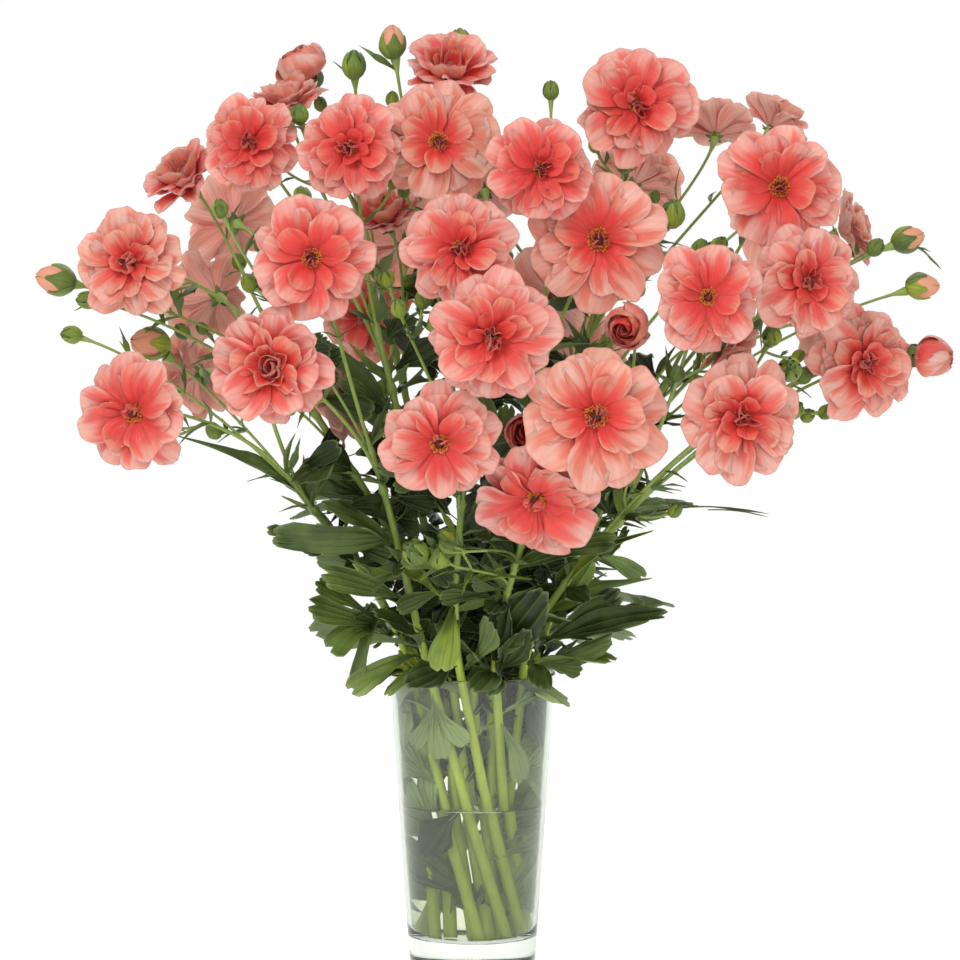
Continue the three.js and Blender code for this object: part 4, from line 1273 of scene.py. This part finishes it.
def stalk_finish(mottle):
    """Stems: mid green, paler and yellower low down where they stand in water."""
    material, tree, shader = finish_of("stalk_green", Roughness=0.45)
    where = place_on_piece(tree)
    low = node(tree, "ShaderNodeSeparateXYZ", {0: where})[2].between(0.18, 0.27, 1.0, 0.0)
    patches = grouped(tree, mottle, Scale=90.0, Seed=5.0)
    colour = blend(low, (0.23, 0.33, 0.06), (0.58, 0.72, 0.075))
    colour = blend(patches * 0.22, colour, (0.15, 0.23, 0.04))
    stretched = node(tree, "ShaderNodeMapping", {0: where, "Scale": (420.0, 420.0, 14.0)})
    fibres = noise(tree, stretched, detail=2.0)
    colour = blend(fibres.between(0.45, 0.7, 0.0, 0.3), colour, (0.40, 0.50, 0.18))
    feed(shader["Base Color"], colour)
    raised(shader, fibres, 0.3, 0.0005)
    return material


def speck_finish(name, dark, light, mottle):
    """A small organ's finish: two colours, mixed by its tint and in patches."""
    material, tree, shader = finish_of(name, Roughness=0.6)
    patches = grouped(tree, mottle, Scale=900.0, Seed=1.0)
    mixed = value_of(tree, "tint") * 0.7 + patches * 0.3
    feed(shader["Base Color"], blend(mixed, dark, light))
    return material


def glass_finish(mottle):
    """Clear glass, green in its depth, with the faintest unevenness from its making."""
    material, tree, shader = finish_of("clear_glass", IOR=1.45, Transmission_Weight=1.0)
    edge = node(tree, "ShaderNodeLayerWeight", {0: 0.45})["Facing"]
    feed(shader["Base Color"], blend(edge, (0.93, 0.95, 0.89), (0.32, 0.40, 0.28)))
    patches = grouped(tree, mottle, Scale=30.0, Seed=8.0)
    feed(shader["Roughness"], patches.between(0.0, 1.0, 0.0, 0.015))
    raised(shader, patches, 0.05, 0.001)
    return material


def water_finish(mottle):
    """Water a little green from the stems."""
    material, tree, shader = finish_of("still_water", IOR=1.33, Transmission_Weight=1.0)
    patches = grouped(tree, mottle, Scale=18.0, Seed=3.0)
    feed(shader["Base Color"], blend(patches, (0.90, 0.93, 0.77), (0.93, 0.955, 0.83)))
    feed(shader["Roughness"], patches.between(0.0, 1.0, 0.0, 0.01))
    return material


# ---------------------------------------------------------------- vase and water
VASE_SIDES = 128
FOOT_ROUND, RIM_ROUND, BOTTOM_ROUND = 2.5, 1.3, 7  # how the glass is rounded, outside and inside
AXIS = 0.4  # the radius at which a section ends, next to its axis
WATER_INSET = 0.12


def outer_radius(z):
    return VASE["foot"] + (VASE["rim"] - VASE["foot"]) * z / VASE["height"]


def inner_radius(z):
    return outer_radius(z) - VASE["wall"]


def arc(across, up, radius, degrees):
    """Points of (radius, z) round a centre, by their degrees up from its outer side."""
    turns = np.radians(degrees)
    return [(across + radius * math.cos(a), up + radius * math.sin(a)) for a in turns]


def bottom_arc(inset, degrees):
    """The round between the vase's wall and its bottom, inside."""
    up = VASE["base"] + BOTTOM_ROUND
    return arc(inner_radius(up) - BOTTOM_ROUND, up, BOTTOM_ROUND - inset, degrees)


def vase_profile():
    """The vase's section from the middle of its foot, out, up over the rim and down inside."""
    height, base = VASE["height"], VASE["base"]
    rim = height - RIM_ROUND
    middle = (outer_radius(rim) + inner_radius(rim)) / 2
    foot = outer_radius(FOOT_ROUND) - FOOT_ROUND
    return [
        (AXIS, 0.4), (outer_radius(0) - 6, 0.0), (outer_radius(0) - FOOT_ROUND, 0.0),
        *arc(foot, FOOT_ROUND, FOOT_ROUND, [-60, -35, -10]),
        *((outer_radius(z), z) for z in np.linspace(6, height - 1.5, 14)),
        *arc(middle, rim, RIM_ROUND, np.arange(0, 181, 22.5)),
        *((inner_radius(z), z) for z in np.linspace(height - 1.5, base + 9, 14)),
        *bottom_arc(0, [-12, -30, -50, -70, -88]),
        (inner_radius(base) * 0.5, base), (AXIS, base),
    ]


def water_profile():
    """The water's section: it rests in the glass and climbs it a little at its edge."""
    base = VASE["base"]
    edge = inner_radius(WATER_TOP) - WATER_INSET
    climb = [(0.5, 0.6), (1.4, 0.15), (3, 0.0)]  # how far in from the edge, and how high
    return [
        (AXIS, base + WATER_INSET), (inner_radius(base) * 0.5, base + WATER_INSET),
        *bottom_arc(WATER_INSET, [-88, -70, -50, -30, -12]),
        *((inner_radius(z) - WATER_INSET, z) for z in np.linspace(base + 9, WATER_TOP + 1.2, 10)),
        *((edge - inward, WATER_TOP + up) for inward, up in climb),
        (AXIS, WATER_TOP),
    ]


def turned_vessel(name, profile, finish, node_name):
    piece = turned_piece(name, np.array(profile) * MM, VASE_SIDES, finish)
    piece.data.set_sharp_from_angle(angle=math.radians(60))
    return dressed(piece, node_name)


def dressed(piece, node_name):
    """A finished piece rides on the bunch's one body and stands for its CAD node."""
    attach(piece, "root")
    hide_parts(node_name)
    return piece


# ---------------------------------------------------------------- stems
KNUCKLE, KNUCKLE_SPAN = 0.28, 0.014  # how much thicker a joint is, and along what share of the stem
SIDE_LEAVES, INNER_LEAVES, LOW_LEAVES = 7, 16, 3  # that fill each stem out
SUNKEN_SHARES = (0.12, 0.36, 0.56, 0.72, 0.86, 0.96)  # of the way from a stem's foot to the mouth
DARK_SUNKEN_SHARES = (0.5, 0.82)
FRONT_DEGREES = 75  # a leaf in the vase is in front up to this far round
GLASS_ROOM = 0.9  # what stays free between a leaf inside the vase and its wall
GLASS_KNEE = 0.9  # the share of the way out from which a leaf is bent by the wall


def wire(name, routes):
    """A mesh of bare edges along routes of (points, thicknesses), for the stalk tree to clothe."""
    points, edges, thick = [], [], []
    for route, radii in routes:
        start = len(points)
        points.extend(tuple(p) for p in route)
        edges.extend((start + i, start + i + 1) for i in range(len(route) - 1))
        thick.extend(radii)
    mesh = bpy.data.meshes.new(name)
    mesh.from_pydata(points, edges, [])
    mark(mesh, "thick", thick)
    return linked(name, mesh)


def stem_pieces(name, stem, index, tree, finishes):
    """One flowering stem: its ridged stalks, its leaves, and its buds and sepals."""
    draw = np.random.default_rng(SEED * 1000 + index)
    _, neck_round, _, carries, closed, leaves = stem
    foot, neck, upper = main_route(stem)
    green, foliage = Pile(), Pile()
    branches, routes, joints = [], [], []
    for k, held_name in enumerate(carries):
        joints.append(max(0.97 - k * BRANCH_STEP, 0.3))
        route, branch = branch_to(held_name, upper, joints[-1], green, draw)
        branches.append(branch)
        routes.append(route)
    for k, (tip, way, radius) in enumerate(closed):
        joints.append(0.8 - k * 0.2)
        curve = branch_curve(upper, joints[-1], seen_at(tip), way, BUD_BEND)
        bud_on_stalk(green, routes, curve, way, radius, draw)
        branches.append((curve, draw.uniform(0.5, 0.75)))
    for curve, node_share in branches:
        branch_leaves(green, foliage, routes, curve, node_share, draw)
    front = [row[1:] for row in FRONT_LEAVES if row[0] == name]
    inside = [row[1:] for row in VASE_LEAVES if row[0] == name]
    for share, tip, shows, wide, tint, kind in leaves + front:
        leaf(foliage, Vector(upper.at(share)), seen_at(tip), shows, wide, tint, draw, kind)
    filler_leaves(foliage, upper, neck_round, draw)
    sunken_leaves(foliage, foot, neck, draw)
    for share, (turn, reach, height), wide, tint, kind in inside:
        tip = ring_point(inner_radius(height) * reach, turn, height)
        shows = (0 if abs(turn) > 90 else turn * 0.4, 0)
        leaf(foliage, foot.lerp(neck, share), tip, shows, wide, tint, draw, kind, against_glass)
    routes.append(main_stalk(foot, neck, upper, joints))
    stalks = wire(name + "_stalks", routes)
    grown(stalks, tree, {"Ridges": 6, "Ridge depth": 0.1, "Finish": finishes["stalk"]})
    for piece in (
        settled(stalks), green.piece(name + "_buds", finishes["leaf"], finishes["bud"]),
        foliage.piece(name + "_leaves", finishes["leaf"]),
    ):
        dressed(piece, name)


def branch_to(held_name, upper, start, green, draw):
    """The branch under a bloom or bud, which it meets in a calyx: its route and thickness, then its
    curve and where along it a joint is."""
    is_bloom = held_name in BLOOMS
    held = (BLOOMS if is_bloom else BUDS)[held_name]
    where, radius, way = held[0], held[1], held[2] if is_bloom else held[3]
    end = seen_at(where) - facing(way) * GAP * MM
    curve = branch_curve(upper, start, end, way, BLOOM_BEND)
    parts = np.concatenate([np.linspace(0, 0.9, 26), np.linspace(0.92, 1, 8)])
    branch, stalk = STEM["branch"], STEM["stalk"]
    thick = np.interp(
        parts, [0, 0.02, 0.06, 0.3, 0.85, 0.93, 1],
        [2.4, 2.3, branch, branch, stalk, stalk * 1.15, radius * (0.13 if is_bloom else 0.5)],
    )
    joint = draw.uniform(0.4, 0.62)
    calyx(green, end, way, radius * (0.24 if is_bloom else 1.2), 0.15 if is_bloom else 1.25, draw)
    return (curve.at(curve.share(parts)), thick * MM), (curve, joint)


def branch_leaves(green, foliage, routes, curve, node_share, draw):
    """Small leaves where a branch starts and at its joints, and young buds at the first joint."""
    for _ in range(3):
        bract(foliage, curve, 0.02, draw.uniform(24, 44), draw)
    for share in (node_share, node_share, node_share + 0.2):
        bract(foliage, curve, share, draw.uniform(18, 34), draw)
    for share in (node_share, node_share + 0.03)[: int(curve.length / BRANCH_PER_BUD)]:
        side_bud(green, foliage, routes, curve, share, draw)


def main_stalk(foot, neck, upper, joints):
    """The main stem's route and thickness, with a knuckle at each joint where a branch leaves."""
    rise, parts = np.linspace(0, 1, 8)[:-1], np.linspace(0, 1, 90)
    lower = [Vector(foot).lerp(neck, t) for t in rise]
    radii = np.interp(parts, [0, 1], [STEM["neck"], STEM["fork"]])
    at = upper.share(parts)
    for joint in joints:
        radii = radii * (1 + KNUCKLE * np.exp(-(((at - joint) / KNUCKLE_SPAN) ** 2)))
    below = np.interp(rise, [0, 1], [STEM["foot"], STEM["neck"]])
    return [*lower, *upper.at(at)], np.concatenate([below, radii]) * MM


def bud_on_stalk(green, routes, curve, way, radius, draw):
    """A closed bud at the end of a curve, and its stalk."""
    foot_share = 1 - radius * 2.5 * MM / curve.length
    parts = np.linspace(0, foot_share, 26)
    thick = np.interp(
        parts, [0, 0.03, foot_share - 0.04, foot_share],
        [2.0, STEM["stalk"], STEM["stalk"], radius * 0.4],
    )
    routes.append((curve.at(curve.share(parts)), thick * MM))
    closed_bud(green, Vector(curve.at(1.0)), way, radius, draw)


def side_bud(green, foliage, routes, branch, share, draw):
    """A young bud on a short stalk of its own, from a joint half way up a branch."""
    share = branch.share(share)
    start, along = Vector(branch.at(share)), Vector(branch.along(share))
    aside = across_from(along, draw)
    reach, radius = draw.uniform(26, 42) * MM, draw.uniform(3.4, 5.2)
    end = start + (along * 0.8 + aside * 0.6).normalized() * reach
    up = (along + aside * 0.2 + Vector((0, 0, 0.5))).normalized()
    leaving = start + aside * reach * 0.3 + along * reach * 0.2
    curve = Curve(start, leaving, end - up * reach * 0.4, end)
    way = (math.degrees(math.atan2(up.x, -up.y)), math.degrees(math.asin(up.z)))
    bud_on_stalk(green, routes, curve, way, radius, draw)
    bract(foliage, curve, 0.45, draw.uniform(12, 18), draw)


def across_from(along, draw):
    aside = Vector(draw.normal(size=3))
    return (aside - along * aside.dot(along)).normalized()


def bract(pile, curve, share, size, draw):
    """A small narrow leaf at a joint of a branch, leaning away from it."""
    share = curve.share(share)
    root, along = Vector(curve.at(share)), Vector(curve.along(share))
    way = (along * draw.uniform(0.5, 1.1) + across_from(along, draw)).normalized()
    shows = (draw.uniform(-180, 180), 60)
    kind = "bract" if draw.random() < 0.6 else "lance"
    leaf(pile, root, root + way * size * MM, shows, 0.9, draw.uniform(0.3, 0.75), draw, kind)


def filler_leaves(pile, upper, round_, draw):
    """The rest of a stem's leaves: fanned out round the sides and back, and dark ones inside, whose
    dark tints are painted shade.
    """
    for share in np.linspace(0.03, 0.62, SIDE_LEAVES):
        root = Vector(upper.at(share + draw.uniform(-0.03, 0.03)))
        turn = round_ + draw.uniform(-85, 85)
        in_front = math.cos(math.radians(turn)) > 0.45
        way = facing((turn, draw.uniform(-20, 50)))
        size = draw.uniform(28, 40) if in_front else draw.uniform(38, 60)
        shows = (turn + draw.uniform(-40, 40), draw.uniform(0, 50))
        kind = str(draw.choice(["lobed", "wedge", "oval", "forked", "bract"]))
        tint = draw.uniform(0.05, 0.35) if in_front else draw.uniform(0.15, 0.75)
        leaf(pile, root, root + way * size * MM, shows, draw.uniform(0.8, 1.1), tint, draw, kind)
    for share in np.linspace(0.02, 0.97, INNER_LEAVES):
        root = Vector(upper.at(share))
        inward = math.degrees(math.atan2(-root.x, root.y)) + draw.uniform(-75, 75)
        way = facing((inward, draw.uniform(-15, 65)))
        size = draw.uniform(32, 54) * MM
        kind = str(draw.choice(["oval", "wedge", "lobed"]))
        shows = (draw.uniform(-60, 60), draw.uniform(0, 40))
        # Their low tints paint the shade deep in the bunch's middle into their colour.
        wide, tint = draw.uniform(0.8, 1.2), draw.uniform(0, 0.3)
        leaf(pile, root, root + way * size, shows, wide, tint, draw, kind)
    for _ in range(LOW_LEAVES):
        root = Vector(upper.at(draw.uniform(0, 0.08)))
        inward = math.degrees(math.atan2(-root.x, root.y)) + draw.uniform(-50, 50)
        tip = root + facing((inward, draw.uniform(-8, 25))) * draw.uniform(34, 50) * MM
        shows = (draw.uniform(-50, 50), draw.uniform(0, 25))
        leaf(pile, root, tip, shows, 1.2, draw.uniform(0, 0.2), draw, "smooth")


def against_glass(points):
    """Presses points that come near the vase's wall up against it."""
    room = (inner_radius(points[:, 2] / MM) - GLASS_ROOM) * MM
    across = np.hypot(points[:, 0], points[:, 1])
    knee = GLASS_KNEE * room
    over = np.clip((across - knee) / (room - knee), 0, None)
    pressed = np.where(across > knee, knee + (room - knee) * (1 - np.exp(-over)), across)
    return points * np.stack([pressed / across, pressed / across, np.ones(len(points))], axis=-1)


def sunken_leaves(pile, foot, neck, draw):
    """Leaves left on the stems inside the vase. At the front they turn inwards, behind the stems;
    elsewhere they are pressed up against its wall. Dark ones stand behind them."""
    for share in SUNKEN_SHARES:
        root = foot.lerp(neck, share + draw.uniform(-0.08, 0.04))
        turn = math.degrees(math.atan2(root.x, -root.y))
        height = min(root.z / MM + draw.uniform(18, 44), VASE["height"] + 2)
        if abs(turn) < FRONT_DEGREES and draw.random() < 0.5:
            reach, turn = draw.uniform(0.1, 0.6), turn + draw.uniform(-100, 100)
        else:
            reach, turn = draw.uniform(1.0, 1.3), turn + draw.uniform(-50, 50)
            if abs(turn) < FRONT_DEGREES:
                turn = math.copysign(draw.uniform(78, 110), turn)
        tip = ring_point(inner_radius(height) * reach, turn, height)
        flat_on = 0 if abs(turn) < 120 else turn
        shows = (flat_on + draw.uniform(-45, 45), draw.uniform(-10, 20))
        kind = str(draw.choice(["oval", "lobed", "wedge", "wedge"]))
        wide, tint = draw.uniform(0.9, 1.4), draw.uniform(0.1, 1.0)
        leaf(pile, root, tip, shows, wide, tint, draw, kind, against_glass)
    for share in DARK_SUNKEN_SHARES:
        root = foot.lerp(neck, share + draw.uniform(-0.1, 0.1))
        height = min(root.z / MM + draw.uniform(16, 36), VASE["height"] - 4)
        reach, turn = draw.uniform(0.1, 0.5), draw.uniform(90, 270)
        tip = ring_point(inner_radius(height) * reach, turn, height)
        shows, tint = (draw.uniform(-30, 30), 0), draw.uniform(0, 0.3)
        leaf(pile, root, tip, shows, 1.3, tint, draw, "wedge", against_glass)


# ---------------------------------------------------------------- light, floor and camera
WHITE = (1, 1, 1, 1)
SURROUND = 0.62  # the strength of the white surroundings' light, and of the floor's own
LAMPS = {  # power, size and place
    "key": (40, 1.2, (-1.1, -2.0, 2.3)),
    "fill": (22, 1.6, (0.7, -2.7, 0.9)),
    "back": (20, 1.5, (0.4, 2.0, 1.8)),
}
LAMPS_AIM = (0, 0, 0.35)
FLOOR_RADIUS, FLOOR_SIDES, FLOOR_DROP = 1.5, 96, 0.0004
FRAME_HEIGHT = 0.624  # what the picture takes in at the bunch, top to bottom
SENSOR = 36


def aimed(name, data, place, target):
    """A lamp or camera at a place, looking at a target."""
    thing = linked(name, data)
    thing.location = place
    thing.rotation_mode = "QUATERNION"
    thing.rotation_quaternion = (Vector(target) - Vector(place)).to_track_quat("-Z", "Y")
    return thing


def studio():
    """White surroundings, soft light from above in front, and a pale floor."""
    scene = bpy.context.scene
    scene.view_settings.view_transform = "Standard"
    world = bpy.data.worlds.new("studio")
    scene.world = world
    world.use_nodes = True
    path = node(world.node_tree, "ShaderNodeLightPath")
    seen = path["Is Camera Ray"].math("MAXIMUM", path["Is Transmission Ray"])
    background = world.node_tree.nodes["Background"].inputs
    feed(background["Color"], WHITE)
    feed(background["Strength"], seen.math("MAXIMUM", SURROUND))
    for name, (power, size, place) in LAMPS.items():
        light = bpy.data.lights.new(name, "AREA")
        light.energy, light.size = power, size
        aimed(name, light, place, LAMPS_AIM)
    mesh = bpy.data.meshes.new("floor")
    rim = [
        (FLOOR_RADIUS * math.cos(a), FLOOR_RADIUS * math.sin(a), -FLOOR_DROP)
        for a in np.linspace(0, 2 * np.pi, FLOOR_SIDES, endpoint=False)
    ]
    mesh.from_pydata(rim, [], [tuple(range(FLOOR_SIDES))])
    floor = linked("floor", mesh)
    material, _, _ = finish_of(
        "pale_floor", Roughness=0.9, Base_Color=(0.6, 0.6, 0.6, 1), Emission_Color=WHITE,
        Emission_Strength=SURROUND, Specular_IOR_Level=0.0,
    )
    mesh.materials.append(material)


def front_camera():
    lens = bpy.data.cameras.new("front")
    eye, aim = Vector(EYE) * MM, Vector(AIM) * MM
    lens.sensor_width = SENSOR
    lens.lens = SENSOR * (aim - eye).length / FRAME_HEIGHT
    bpy.context.scene.camera = aimed("front", lens, eye, aim)


# ---------------------------------------------------------------- making it all
studio()
front_camera()
veins, mottle = veins_group(), mottle_group()
petal_satin = petal_finish(veins, mottle)
finishes = {
    "stalk": stalk_finish(mottle),
    "leaf": leaf_finish(veins, mottle),
    "bud": speck_finish("bud_blush", (0.26, 0.33, 0.08), (0.72, 0.27, 0.18), mottle),
    "carpel": speck_finish("carpel_brown", (0.10, 0.016, 0.010), (0.24, 0.060, 0.030), mottle),
    "filament": speck_finish("filament_red", (0.42, 0.02, 0.014), (0.62, 0.09, 0.03), mottle),
    "anther": speck_finish("anther_orange", (0.42, 0.10, 0.014), (0.70, 0.27, 0.04), mottle),
}
turned_vessel("vase_glass", vase_profile(), glass_finish(mottle), "vase")
turned_vessel("vase_water", water_profile(), water_finish(mottle), "water")

whorl, spray, stalks = whorl_tree(), spray_tree(), stalk_tree()
patterns = petal_patterns()
organs = stamen_pieces(finishes["filament"], finishes["anther"])
for index, (name, (where, radius, way, form, tone)) in enumerate(BLOOMS.items()):
    spin = SPIN * index
    petals = bloom_petals(name + "_petals", radius, form, tone, spin, patterns, whorl, petal_satin)
    eye = bloom_eye(name + "_eye", radius, form, spin, organs, spray, finishes)
    for piece in (petals, eye):
        dressed(placed(piece, where, way), name)
for index, (name, (where, radius, length, way, tone, opened)) in enumerate(BUDS.items()):
    draw = np.random.default_rng(SEED + index)
    made = bud_petals(name + "_petals", radius, length, tone, opened, petal_satin, draw)
    dressed(placed(made, where, way), name)
for index, (name, stem) in enumerate(STEMS.items()):
    stem_pieces(name, stem, index, stalks, finishes)
for pattern in [*organs, *(petal for chosen in patterns.values() for petal in chosen.objects)]:
    bpy.data.objects.remove(pattern)
